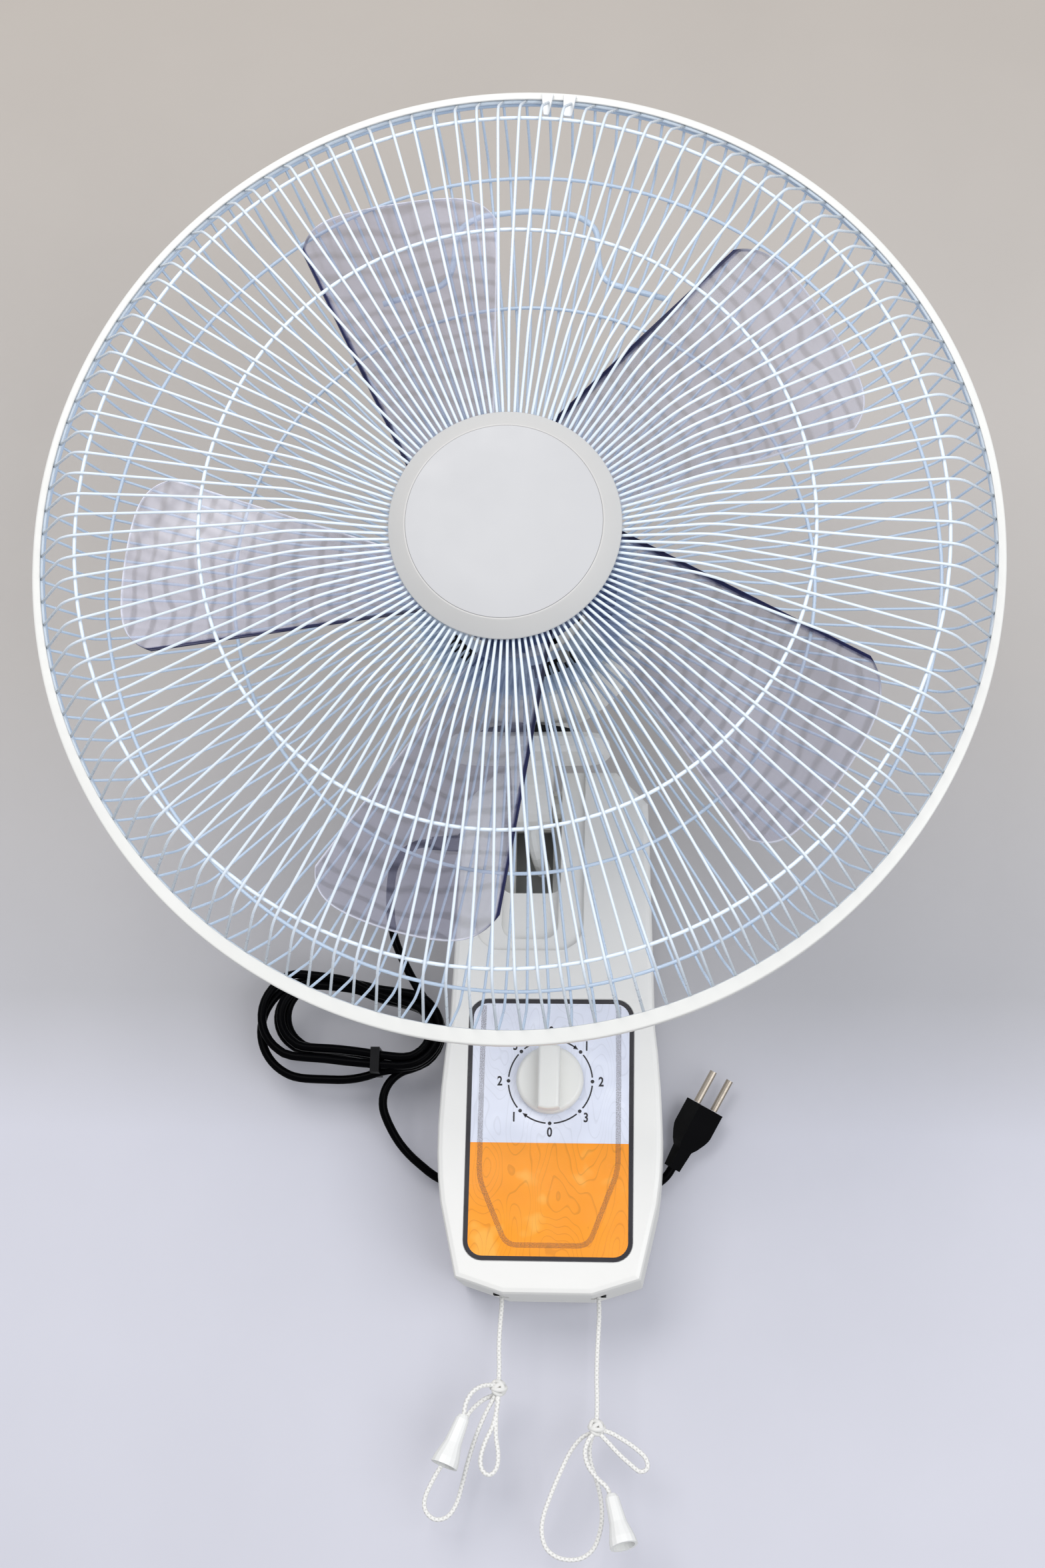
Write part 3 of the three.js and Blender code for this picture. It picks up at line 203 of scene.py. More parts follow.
def bare_metal(name, color, roughness=0.3):
    """Drawn metal: fine lines across its height, and slow changes of tone."""
    material, tree, shader = node_tree(name)
    shader.inputs["Metallic"].default_value = 1
    slow = noise(tree, 30, 4)
    link(tree, ramp(tree, slow, [(0.3, shade(color, 0.82)), (0.75, color)]), shader.inputs["Base Color"])
    fine = noise(tree, 120, 4, stretch=(1, 1, 60))
    link(tree, to_range(tree, fine, roughness - 0.08, roughness + 0.14, 0.3, 0.7), shader.inputs["Roughness"])
    bump(tree, shader, fine, 0.15, 0.00003)
    return material


def clear_blade(name):
    """Clear blue-grey plastic.

    edge darkens it, as light runs along a cut edge, the rim mark paints a highlight along its thin rims, and
    root marks the hub's end.
    """
    material, tree, shader = node_tree(name)
    edge, painted_sheen = attribute(tree, "edge"), attribute(tree, "painted_sheen")
    body = ramp(tree, noise(tree, 9, 3), [(0.38, (0.27, 0.27, 0.37)), (0.62, (0.47, 0.47, 0.59))])
    # Painted shadows of the front wires: dark wavy rings about the fan axis, multiplied into the blade's
    # colour.
    centred = tree.nodes.new("ShaderNodeMapping")
    centred.inputs["Location"].default_value = tuple(-RIM)
    link(tree, object_position(tree), centred.inputs["Vector"])
    wire_shadow_wave = tree.nodes.new("ShaderNodeTexWave")
    wire_shadow_wave.wave_type = "RINGS"
    wire_shadow_wave.rings_direction = "Y"
    for setting, value in (("Scale", 31), ("Distortion", 7), ("Detail", 1), ("Detail Scale", 0.8)):
        wire_shadow_wave.inputs[setting].default_value = value
    link(tree, centred.outputs["Vector"], wire_shadow_wave.inputs["Vector"])
    painted_wire_shadows = ramp(tree, wire_shadow_wave.outputs["Fac"], [(0.06, (0.52, 0.52, 0.56)), (0.3, (1, 1, 1))])
    body = mix_colors(tree, 1.0, body, painted_wire_shadows, "MULTIPLY")
    body = mix_colors(tree, attribute(tree, "root"), body, (0.16, 0.25, 0.52))
    # Painted highlight: a light lilac-grey along the blade's thin rims, also more solid there.
    body = mix_colors(tree, painted_sheen, body, (0.70, 0.71, 0.80))
    link(tree, mix_colors(tree, edge, body, (0.008, 0.010, 0.05)), shader.inputs["Base Color"])
    solid = to_range(tree, edge, 0.25, 1.0, 0.0, 0.7)
    solid = math_node(tree, "MAXIMUM", solid, math_node(tree, "MULTIPLY", painted_sheen, 0.7))
    link(tree, solid, shader.inputs["Alpha"])
    shader.inputs["Roughness"].default_value = 0.3
    shader.inputs["Specular IOR Level"].default_value = 0.25
    bump(tree, shader, noise(tree, 26, 2), 0.08, 0.0006)
    return material


def braid(name, color, pitch):
    """Plaited cord: two crossing sets of slanted strands along the cord's own length, from its uv map, with
    painted shade in the grooves between strands.
    """
    material, tree, shader = node_tree(name)
    strands = 2
    uv = tree.nodes.new("ShaderNodeUVMap")
    split = tree.nodes.new("ShaderNodeSeparateXYZ")
    link(tree, uv.outputs["UV"], split.inputs["Vector"])
    around = math_node(tree, "MULTIPLY", split.outputs["X"], 2 * math.pi * strands)
    along = math_node(tree, "MULTIPLY", split.outputs["Y"], 2 * math.pi / pitch)
    one = math_node(tree, "SINE", math_node(tree, "ADD", along, around))
    two = math_node(tree, "SINE", math_node(tree, "SUBTRACT", along, around))
    height = to_range(tree, math_node(tree, "MAXIMUM", one, two), 0.0, 1.0, -0.6, 1.0)
    # Painted shade: the strands darken towards the grooves between them.
    stops = [(0.0, shade(color, 0.74)), (0.5, shade(color, 0.96)), (1.0, color)]
    link(tree, ramp(tree, height, stops), shader.inputs["Base Color"])
    shader.inputs["Roughness"].default_value = 0.75
    shader.inputs["Sheen Weight"].default_value = 0.3
    bump(tree, shader, height, 0.8, 0.0002)
    return material


def printed_sheet(name, color, vein, painted_sheen):
    """Glossy printed sheet over an uneven moulded face, with fine darker lines, and lighter patches that are
    painted reflections.
    """
    material, tree, shader = node_tree(name)
    field = noise(tree, 34, 1.5, stretch=(1, 1, 0.38))
    lines = math_node(tree, "FRACT", math_node(tree, "MULTIPLY", field, 30))
    veins = ramp(tree, lines, [(0.0, (vein,) * 3), (0.08, (vein,) * 3), (0.18, (1, 1, 1)), (1.0, (1, 1, 1))])
    # Painted reflections: lighter patches of the last colour, among random changes of tone.
    tones_and_painted_sheen = ramp(tree, noise(tree, 48, 2), [(0.36, shade(color, 0.95)), (0.58, color), (0.68, painted_sheen)])
    link(tree, mix_colors(tree, 1.0, tones_and_painted_sheen, veins, "MULTIPLY"), shader.inputs["Base Color"])
    link(tree, to_range(tree, noise(tree, 40, 3), 0.16, 0.3, 0.3, 0.7), shader.inputs["Roughness"])
    bump(tree, shader, field, 0.2, 0.002)
    return material


def dotted_painted_shade(name, color):
    """Dots of dark colour over what lies under it: painted shade along a step under the label sheet."""
    material, tree, shader = node_tree(name)
    dots = noise(tree, 2600, 0)
    link(tree, ramp(tree, dots, [(0.4, color), (0.6, shade(color, 1.6))]), shader.inputs["Base Color"])
    link(tree, to_range(tree, dots, 0.04, 0.26, 0.4, 0.6), shader.inputs["Alpha"])
    shader.inputs["Roughness"].default_value = 0.3
    return material


# Backdrop colour by height, painted shade: paler and bluer low down, darker and warmer up the wall.
STAGE_PAINTED_SHADE = [
    (0.0, (0.60, 0.60, 0.66)),
    (0.22, (0.60, 0.60, 0.66)),
    (0.30, (0.47, 0.465, 0.485)),
    (0.50, (0.50, 0.475, 0.455)),
    (1.0, (0.47, 0.43, 0.39)),
]


def stage_surface():
    """Pale matt backdrop painted darker and warmer up the wall as shade, clear from behind, and clear to the
    light that reaches the back of the fan.
    """
    material, tree, shader = node_tree("stage_surface")
    shader.inputs["Roughness"].default_value = 0.85
    shader.inputs["Specular IOR Level"].default_value = 0.15
    split = tree.nodes.new("ShaderNodeSeparateXYZ")
    link(tree, object_position(tree), split.inputs["Vector"])
    height = to_range(tree, split.outputs["Z"], 0.0, 1.0, -0.3, 0.7)
    base = ramp(tree, height, STAGE_PAINTED_SHADE)
    cloud = ramp(tree, noise(tree, 7, 5), [(0.3, (0.965, 0.965, 0.965)), (0.7, (1, 1, 1))])
    link(tree, mix_colors(tree, 1.0, base, cloud, "MULTIPLY"), shader.inputs["Base Color"])
    behind = tree.nodes.new("ShaderNodeNewGeometry")
    clear = tree.nodes.new("ShaderNodeBsdfTransparent")
    mix = tree.nodes.new("ShaderNodeMixShader")
    direct = tree.nodes.new("ShaderNodeLightPath")
    passing = math_node(tree, "SUBTRACT", 1.0, direct.outputs["Is Camera Ray"])
    link(tree, math_node(tree, "MAXIMUM", behind.outputs["Backfacing"], passing), mix.inputs["Fac"])
    link(tree, shader.outputs["BSDF"], mix.inputs[1])
    link(tree, clear.outputs["BSDF"], mix.inputs[2])
    link(tree, mix.outputs["Shader"], tree.nodes["Material Output"].inputs["Surface"])
    return material


# ---- mesh helpers
def add_object(name, vertices, faces, material, smooth=True, angle=None):
    mesh = bpy.data.meshes.new(name)
    mesh.from_pydata([tuple(v) for v in vertices], [], [tuple(f) for f in faces])
    mesh.validate()
    mesh.update()
    mesh.polygons.foreach_set("use_smooth", [smooth] * len(mesh.polygons))
    if angle:
        mesh.set_sharp_from_angle(angle=math.radians(angle))
    mesh.materials.append(material)
    obj = bpy.data.objects.new(name, mesh)
    bpy.context.scene.collection.objects.link(obj)
    return obj


def settle(obj, body, *replaced, slot=None):
    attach(obj, body)
    if replaced:
        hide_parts(*replaced)
    return obj


def merge(parts):
    """[(vertices, faces), ...] as one list of vertices and one of faces."""
    vertices, faces, offset = [], [], 0
    for v, f in parts:
        v = np.asarray(v, float)
        vertices.append(v)
        faces += [[i + offset for i in face] for face in f]
        offset += len(v)
    return np.vstack(vertices), faces


def frames_along(points):
    """Tangents, and two normals that turn as little as they can, along a line of points."""
    points = np.asarray(points, float)
    tangents = np.gradient(points, axis=0)
    tangents /= np.linalg.norm(tangents, axis=1)[:, None]
    start = np.array([0, 1, 0]) if abs(tangents[0][1]) < 0.8 else np.array([1, 0, 0])
    normal = start - tangents[0] * (start @ tangents[0])
    normals = [normal / np.linalg.norm(normal)]
    for t in tangents[1:]:
        n = normals[-1] - t * (normals[-1] @ t)
        normals.append(n / np.linalg.norm(n))
    normals = np.array(normals)
    return tangents, normals, np.cross(tangents, normals)


def bands(rings, sides, closed=False, flipped=False):
    """Faces between neighbouring rings of points; closed joins the last ring to the first."""
    faces = []
    for i in range(rings if closed else rings - 1):
        a, b = i * sides, (i + 1) % rings * sides
        for j in range(sides):
            m = (j + 1) % sides
            faces.append([a + j, b + j, b + m, a + m] if flipped else [a + j, a + m, b + m, b + j])
    return faces


def end_caps(rings, sides):
    return [list(range(sides - 1, -1, -1)), list(range((rings - 1) * sides, rings * sides))]


def sweep(points, section, closed=False, keep=None):
    """A section of [normal, binormal] offsets carried along points, with capped ends unless it is closed.

    keep holds the first offset along a fixed direction.
    """
    points = np.asarray(points, float)
    tangents, normals, binormals = frames_along(points)
    if keep is not None:
        fixed = np.asarray(keep, float)
        normals = fixed - tangents * (tangents @ fixed)[:, None]
        normals /= np.linalg.norm(normals, axis=1)[:, None]
        binormals = np.cross(tangents, normals)
    section = np.asarray(section, float)
    rings = (
        points[:, None, :]
        + section[None, :, :1] * normals[:, None, :]
        + section[None, :, 1:] * binormals[:, None, :]
    )
    faces = bands(len(points), len(section), closed)
    if not closed:
        faces += end_caps(len(points), len(section))
    return rings.reshape(-1, 3), faces


def round_section(radius, sides):
    t = np.arange(sides) * 2 * math.pi / sides
    return np.stack([radius * np.cos(t), radius * np.sin(t)], 1)


def filleted(points, radius, steps=4):
    """A bent line whose corners are rounded off."""
    points = [np.asarray(p, float) for p in points]
    line = [points[0]]
    for before, corner, after in zip(points, points[1:], points[2:]):
        reach = min(radius, 0.45 * np.linalg.norm(corner - before), 0.45 * np.linalg.norm(after - corner))
        a = corner + (before - corner) / np.linalg.norm(before - corner) * reach
        b = corner + (after - corner) / np.linalg.norm(after - corner) * reach
        for t in np.linspace(0, 1, steps + 1):
            line.append((1 - t) ** 2 * a + 2 * t * (1 - t) * corner + t * t * b)
    line.append(points[-1])
    return np.array(line)


def smooth_line(points, step):
    """A Catmull-Rom line through the points, sampled about every step."""
    p = np.asarray(points, float)
    ends = np.vstack([2 * p[0] - p[1], p, 2 * p[-1] - p[-2]])
    out = []
    for i in range(1, len(ends) - 2):
        a, b, c, d = ends[i - 1 : i + 3]
        count = max(2, int(np.linalg.norm(c - b) / step))
        for t in np.arange(count) / count:
            square, cube = 2 * a - 5 * b + 4 * c - d, 3 * b - a - 3 * c + d
            out.append(0.5 * (2 * b + (c - a) * t + square * t * t + cube * t**3))
    out.append(p[-1])
    return np.array(out)


def revolve(section, sides=128):
    """A closed section of [radius, depth] turned about the depth axis: (x, depth, height) vertices."""
    section = np.asarray(section, float)
    rings = []
    for i in range(sides):
        t = 2 * math.pi * i / sides
        rings.append(np.stack([section[:, 0] * math.cos(t), section[:, 1], section[:, 0] * math.sin(t)], 1))
    return np.vstack(rings), bands(sides, len(section), closed=True)


def prism(outline, y_rear, y_front, edge=0.0):
    """A front-view outline of [x, z] points drawn out along Y, its front edge rounded off by edge."""
    outline = np.asarray(outline, float)
    after, before = np.roll(outline, -1, 0), np.roll(outline, 1, 0)
    along = after - before
    inward = np.stack([-along[:, 1], along[:, 0]], 1)
    inward /= np.linalg.norm(inward, axis=1)[:, None]
    area = 0.5 * np.sum(outline[:, 0] * after[:, 1] - after[:, 0] * outline[:, 1])
    if area < 0:
        inward = -inward
    levels = [(0.0, y_rear), (0.0, y_front + edge)]
    if edge:
        steps = 3
        for i in range(1, steps + 1):
            t = i / steps * math.pi / 2
            levels.append((edge * (1 - math.cos(t)), y_front + edge * (1 - math.sin(t))))
    rings = [np.insert(outline + inward * inset, 1, y, axis=1) for inset, y in levels]
    count, sides = len(levels), len(outline)
    return np.vstack(rings), bands(count, sides) + end_caps(count, sides)


def rounded_rect(x0, z0, x1, z1, r):
    points, steps = [], 8
    corners = [(x1 - r, z0 + r), (x1 - r, z1 - r), (x0 + r, z1 - r), (x0 + r, z0 + r)]
    for quarter, (cx, cz) in enumerate(corners):
        for i in range(steps + 1):
            t = math.radians(90 * (quarter - 1) + 90 * i / steps)
            points.append((cx + r * math.cos(t), cz + r * math.sin(t)))
    return np.array(points)


def clamp(value):
    return min(1, max(0, value))


def on_head(vertices):
    """Millimetres in the fan head's frame, as metres in the model's."""
    v = np.asarray(vertices, float) * MM
    return RIM + v[:, :1] * np.array([1, 0, 0]) + v[:, 1:2] * DEPTH + v[:, 2:3] * HEIGHT


def turn_on_axis(vertices, angle):
    """Points in the head's frame, turned about the fan axis."""
    x, depth, height = np.asarray(vertices, float).T
    c, s = math.cos(angle), math.sin(angle)
    return np.stack([x * c - height * s, depth, x * s + height * c], 1)


def head_piece(name, parts, material, *replaced, slot, body="head", angle=None):
    vertices, faces = merge(parts)
    obj = add_object(name, on_head(vertices), faces, material, angle=angle)
    return settle(obj, body, *replaced, slot=slot)


def base_piece(name, shape, material, *replaced, slot, body="base", angle=None):
    """A piece in millimetres in the model's frame, flat-sided unless it has an angle."""
    vertices, faces = shape
    obj = add_object(name, np.asarray(vertices) * MM, faces, material, smooth=bool(angle), angle=angle)
    return settle(obj, body, *replaced, slot=slot)


make_camera()

# ---- finishes
cream = plastic("cream_plastic", (0.82, 0.81, 0.78), 0.36, soft_edge=0.0008, cloud=0.025)
housing_cream = plastic("motor_plastic", (0.84, 0.82, 0.765), 0.38, soft_edge=0.0008, cloud=0.025)
wire_front = painted_wire("front_wire_paint", (0.76, 0.84, 0.92))
# The rear wires share the front wires' paint; their darker, bluer colour is painted shade.
rear_paint_and_shade = painted_wire("rear_wire_paint_and_shade", (0.60, 0.72, 0.87))
band_white = plastic("rim_plastic", (0.77, 0.765, 0.735), 0.4, cloud=0.025)
clip_white = plastic("clip_plastic", (0.80, 0.81, 0.81), 0.4)
cap_grey = plastic("cap_plastic", (0.57, 0.56, 0.545), 0.5, grain=1300, cloud=0.02)
disc_grey = plastic("disc_plastic", (0.53, 0.53, 0.54), 0.5, grain=1500, cloud=0.02)
blade = clear_blade("clear_blade")
knob_plastic = plastic("knob_plastic", (0.79, 0.785, 0.75), 0.4, grain=1600, depth=0.00003)
sheath = plastic("cord_sheath", (0.001, 0.001, 0.0015), 0.28, 1500, 0.00003, cloud=0.2, specular=0.03)
plug_black = plastic("plug_plastic", (0.0015, 0.0015, 0.002), 0.42, grain=1300, cloud=0.2, specular=0.06)
grey_plastic = plastic("grey_plastic", (0.42, 0.42, 0.40), 0.5)
white_plastic = plastic("white_plastic", (0.82, 0.82, 0.80), 0.4)
bell_plastic = plastic("bell_plastic", (0.83, 0.83, 0.81), 0.36)
cord_braid = braid("white_braid", (0.84, 0.83, 0.80), 0.0023)
steel = bare_metal("steel", (0.56, 0.57, 0.58), 0.28)
zinc = bare_metal("zinc_plate", (0.62, 0.61, 0.56), 0.38)
brass = bare_metal("brass", (0.72, 0.53, 0.24), 0.3)
pin_metal = bare_metal("pin_plate", (0.50, 0.44, 0.37), 0.36)
copper = plastic("winding_varnish", (0.32, 0.10, 0.03), 0.35)
# Black plastic for the washer and the hank tie, also the painted shade of the slot pieces.
black_plastic = plastic("black_plastic", (0.004, 0.004, 0.005), 0.5, cloud=0.2, specular=0.15)
# The last colour of each label sheet is painted for its reflections.
label_lilac = printed_sheet("label_lilac", (0.77, 0.80, 0.91), 0.92, (0.82, 0.85, 0.95))
label_orange = printed_sheet("label_orange", (1.0, 0.34, 0.014), 0.83, (1.0, 0.43, 0.06))
# Painted shade of the step under the label sheet.
label_step_shade = dotted_painted_shade("label_step_shade", (0.10, 0.07, 0.07))
ink = plastic("printed_ink", (0.010, 0.008, 0.014), 0.3, cloud=0.1)

for names, material in (
    ("base_shell neck", cream),
    ("motor_front_housing motor_rear_cover", housing_cream),
    ("back_plate rotary_switch speed_pull_switch swing_pull_switch", grey_plastic),
    ("lead_sleeve speed_pull_rod swing_pull_rod", white_plastic),
    ("wall_bracket tilt_spacer_left tilt_spacer_right bearing_bridge", zinc),
    ("guard_screw_1 guard_screw_2 guard_screw_3", zinc),
    ("tilt_bolt tilt_nut swing_pin motor_shaft rotor drive_pin swing_motor", steel),
    ("switch_spindle front_bearing rear_bearing", brass),
    ("plug_pin_left plug_pin_right", pin_metal),
    ("stator", copper),
    ("swing_washer hank_tie", black_plastic),
    ("cord_gland", sheath),
    ("plug_body", plug_black),
    ("spinner_nut hub_cap", cap_grey),
    ("hub_disc", disc_grey),
    ("speed_bell swing_bell", bell_plastic),
    ("speed_knob", knob_plastic),
    ("front_guard front_ring_inner front_ring_outer", wire_front),
    ("rear_guard rear_ring_inner rear_ring_outer guard_loop", rear_paint_and_shade),
    ("rim_band", band_white),
    ("guard_clip_left guard_clip_right", clip_white),
    ("impeller", blade),
    ("label_panel", label_lilac),
    ("mains_cord mains_hank plug_cord", sheath),
    ("speed_cord swing_cord speed_bow swing_bow", cord_braid),
):
    for name in names.split():
        mesh = nodes[name].data
        mesh.materials.clear()
        mesh.materials.append(material)
        mesh.polygons.foreach_set("use_smooth", [True] * len(mesh.polygons))
        mesh.set_sharp_from_angle(angle=math.radians(32))


# ---- mains cord
HANK_Y, HANK_LEFT, HANK_RIGHT = -24.0, -140.0, -84.0
HANK_LEFT_Z, HANK_RIGHT_Z = -19.0, -27.0
HANK_LEFT_RADIUS, HANK_RIGHT_RADIUS = 18.4, 15.2


def arc(centre, radius, start, end, steps):
    """Points [x, z] on a circle, from one angle in degrees to another."""
    t = np.radians(np.linspace(start, end, steps))
    return [(centre[0] + radius * math.cos(a), centre[1] + radius * math.sin(a)) for a in t]


def mains_route():
    """The lead in millimetres: out of the gland, round the hank, and behind the base to the plug."""
    feed = [
        (-49, 82), (-57, 82), (-66, 82), (-75.5, 82), (-81, 81.2), (-86.2, 78.4), (-90.6, 74),
        (-93.6, 68), (-94.9, 61), (-95.2, 53), (-94.9, 44), (-93.9, 35), (-91.4, 25), (-87, 14.6),
        (-81.4, 4), (-75.6, -5.6), (-70.2, -13.6),
    ]
    line = [(x, HANK_Y, z) for x, z in feed]
    # Of each turn: how much wider it is, its layer, how far its left end shifts, how deep its lower run sags.
    turns = [
        (5, 0, 0.4, 3.2), (5, -5, -0.4, 0.5), (0, -5, 4.6, -0.6), (0, 0, 7.6, 0.4), (0, 5, 2.2, -0.4),
        (5, 5, -1.4, 0),
    ]
    for i, (out, layer, shift, sag) in enumerate(turns):
        y = HANK_Y + layer
        first, last = i == 0, i == len(turns) - 1
        near, far = HANK_RIGHT_RADIUS + out, HANK_LEFT_RADIUS + out + 0.5 * math.sin(2 * i)
        right = (HANK_RIGHT, HANK_RIGHT_Z + 0.3 * math.sin(2.1 * i))
        left = (HANK_LEFT + shift, HANK_LEFT_Z + 0.6 * math.cos(1.7 * i))
        if first:  # the loose strand hangs below the others
            left, far = (-137.4, -26.4), 27.6
        line += [(x, y, z) for x, z in arc(right, near, 12 if first else 74, -78 if last else -88, 7)]
        if last:
            break
        x0, z0, x1, z1 = right[0] - 6, right[1] - near, left[0] + 6, left[1] - far
        for t in (0.16, 0.34, 0.5, 0.66, 0.84):
            hang = sag * math.sin(math.pi * t)
            line.append((x0 + (x1 - x0) * t, y, z0 + (z1 - z0) * t - hang))
        line += [(x, y, z) for x, z in arc(left, far, -98 if first else -104, -256, 9)]
        next_out, next_layer = turns[i + 1][:2]
        x0, z0 = left[0] + 9, left[1] + far - 1
        x1, z1 = right[0] - 5, right[1] + HANK_RIGHT_RADIUS + next_out - 0.8
        for t in (0.25, 0.5, 0.75):
            step = t * t * (3 - 2 * t)
            bow = 2.2 * math.sin(math.pi * t)
            line.append((x0 + (x1 - x0) * t, y + (next_layer - layer) * step, z0 + (z1 - z0) * t + bow))
    tail = [(x, z) for x, z in arc((-75.2, -66.2), 19.8, 118, 205, 7)]
    tail += [(-89.9, -81.2), (-85.4, -88.2), (-79.8, -94.4), (-73.2, -99.9)]
    depth = [-19.6, -20.6, -21.4, -22, -22, -21.4, -20.4, -19.2, -17.2, -14.6, -10.8]
    line += [(x, y, z) for (x, z), y in zip(tail, depth)]
    line += [
        (-66.4, -8.2, -104.8), (-57.6, -5.6, -108.5), (-47.6, -4.1, -110.1), (-36, -3.3, -110.3),
        (-24, -3.1, -110.3), (-10, -3.1, -110.3), (4, -3.2, -110.3), (20, -3.4, -110.3),
        (32, -3.8, -110.3), (41, -4.3, -110.3), (47, -4.8, -110.1), (52.8, -5.4, -109),
        (57.8, -6.1, -106.6), (61.6, -6.8, -103.4), (64.2, -7.3, -99.7), (65.8, -7.8, -96.9),
    ]
    return line


mains_line = smooth_line(np.array(mains_route()) * MM, 0.003)
mains = add_object("mains_lead", *sweep(mains_line, round_section(2.42 * MM, 14)), sheath)
settle(mains, "base", "mains_cord", "mains_hank", "plug_cord", slot="black_cord")

# ---- pull cords
PULL_X, PULL_Y = 26.0, -30.0
PULL_EXIT_Z = -158.3
PULL_SIDES = 8
# From the knot: round the wide loop, round the narrow one, and along the strand that the bell hangs on.
SPEED_BOW = [
    (-3, 3, -3), (-9, 3.2, -6), (-16, 3, -13), (-21, 3, -24), (-27, 3, -35), (-33.5, 3, -46),
    (-37.6, 3, -55.5), (-37, 3, -62), (-32, 3, -66), (-25.5, 3, -64.5), (-21, 3, -58), (-18.2, 3, -48),
    (-15.6, 2.8, -37), (-12, 2.6, -25), (-7.6, 2, -14), (-3.4, 1, -6), (-0.6, 0, -2), (-0.4, -1, -8),
    (-2.4, -1.4, -18), (-6.4, -1.6, -27), (-8.6, -1.6, -35), (-7.6, -1.6, -41), (-3.8, -1.6, -43.4),
    (-0.2, -1.6, -40), (0.6, -1.6, -33), (-0.8, -1.4, -24), (-1, -1.2, -14), (-0.6, -0.6, -5),
    (-0.6, -1.2, 1), (-4, -3.6, 1.8), (-9, -7, 0.8), (-13.4, -10, -2.6), (-16.2, -11.4, -8),
    (-17, -11.5, -14), (-17, -11.5, -19),
]
SWING_BOW = [
    (-3, 3, -2), (-8.4, 3.4, -5), (-14, 3.2, -12), (-19.4, 3, -23), (-24, 3, -34), (-27.4, 3, -44),
    (-28.2, 3, -52), (-26, 3, -59.4), (-20.6, 3, -63.8), (-13.4, 3, -65.2), (-6.4, 3, -63.8),
    (-1, 3, -59), (2, 3, -51), (2.9, 3, -43), (2, 2.8, -34), (-0.4, 2.6, -25), (-3.4, 2, -16),
    (-3.6, 1, -8), (-0.6, 0, -1.4), (6, -1, -1.6), (13, -1.4, -5), (20, -1.6, -9.4), (25.4, -1.6, -14.2),
    (26.4, -1.6, -19.2), (22.6, -1.6, -21), (17.4, -1.6, -17.4), (11, -1.4, -12), (5, -1, -6),
    (0, -0.8, -2), (-4, -2.4, -5.4), (-6, -5, -12), (-4, -8, -19), (1, -10.4, -25), (5.6, -11.4, -29),
    (7.6, -11.5, -33.4), (8, -11.5, -37),
]


def pull_route(x, knot, bow):
    """A pull cord in millimetres: down from its slot with a slight waver to the knot, and through the bow."""
    points = [(x, PULL_Y, PULL_EXIT_Z), (x, PULL_Y, PULL_EXIT_Z - 8)]
    for i in range(2, 7):
        points.append((x + 0.5 * math.sin(i), PULL_Y, PULL_EXIT_Z + (knot + 4 - PULL_EXIT_Z) * i / 7))
    points += [(x - 0.2, PULL_Y, knot + 4.5), (x - 0.8, PULL_Y + 1.4, knot + 0.5)]
    return points + [(x + dx, PULL_Y + dy, knot + dz) for dx, dy, dz in bow]


def add_braid_map(cord, line):
    """Lays the braid's uv map on a swept cord: round it, and along its length in metres."""
    along = np.concatenate([[0], np.cumsum(np.linalg.norm(np.diff(line, axis=0), axis=1))])
    layer = cord.data.uv_layers.new(name="braid")
    vertex_of = [loop.vertex_index for loop in cord.data.loops]
    for polygon in cord.data.polygons:
        crosses_seam = any(vertex_of[k] % PULL_SIDES == PULL_SIDES - 1 for k in polygon.loop_indices)
        for k in polygon.loop_indices:
            ring, corner = divmod(vertex_of[k], PULL_SIDES)
            seam = corner == 0 and crosses_seam
            layer.data[k].uv = ((PULL_SIDES if seam else corner) / PULL_SIDES, along[ring])


def knot_parts(centre):
    """Turns of the cord laced tightly over each other, each with its lean, its spin and its radius."""
    turn = np.arange(28) * 2 * math.pi / 28
    laced = []
    for lean, spin, size in ((0.35, 0.2, 3.7), (1.25, 0.6, 3.6), (1.2, 2.4, 3.4), (0.8, 4.2, 3.1)):
        u = np.array([math.cos(spin), math.sin(spin), 0])
        v = np.array([-math.sin(spin) * math.cos(lean), math.cos(spin) * math.cos(lean), math.sin(lean)])
        loop = centre + size * (np.outer(np.cos(turn), u) + np.outer(np.sin(turn), v))
        laced.append(sweep(loop * MM, round_section(1.25 * MM, PULL_SIDES), closed=True))
    return laced


for name, x, knot, bow in (("speed", -PULL_X, -218.5, SPEED_BOW), ("swing", PULL_X, -237.5, SWING_BOW)):
    line = smooth_line(np.array(pull_route(x, knot, bow)) * MM, 0.0012)
    vertices, faces = sweep(line, round_section(1.2 * MM, PULL_SIDES))
    cord = add_object(name + "_pull_cord", vertices, faces, cord_braid)
    add_braid_map(cord, line)
    settle(cord, name + "_pull", name + "_cord", name + "_bow", slot="white_braid")
    centre = np.array([x - 0.2, PULL_Y, knot + 0.6])
    knot_piece = add_object(name + "_knot", *merge(knot_parts(centre)), cord_braid)
    settle(knot_piece, name + "_pull", slot="white_braid")

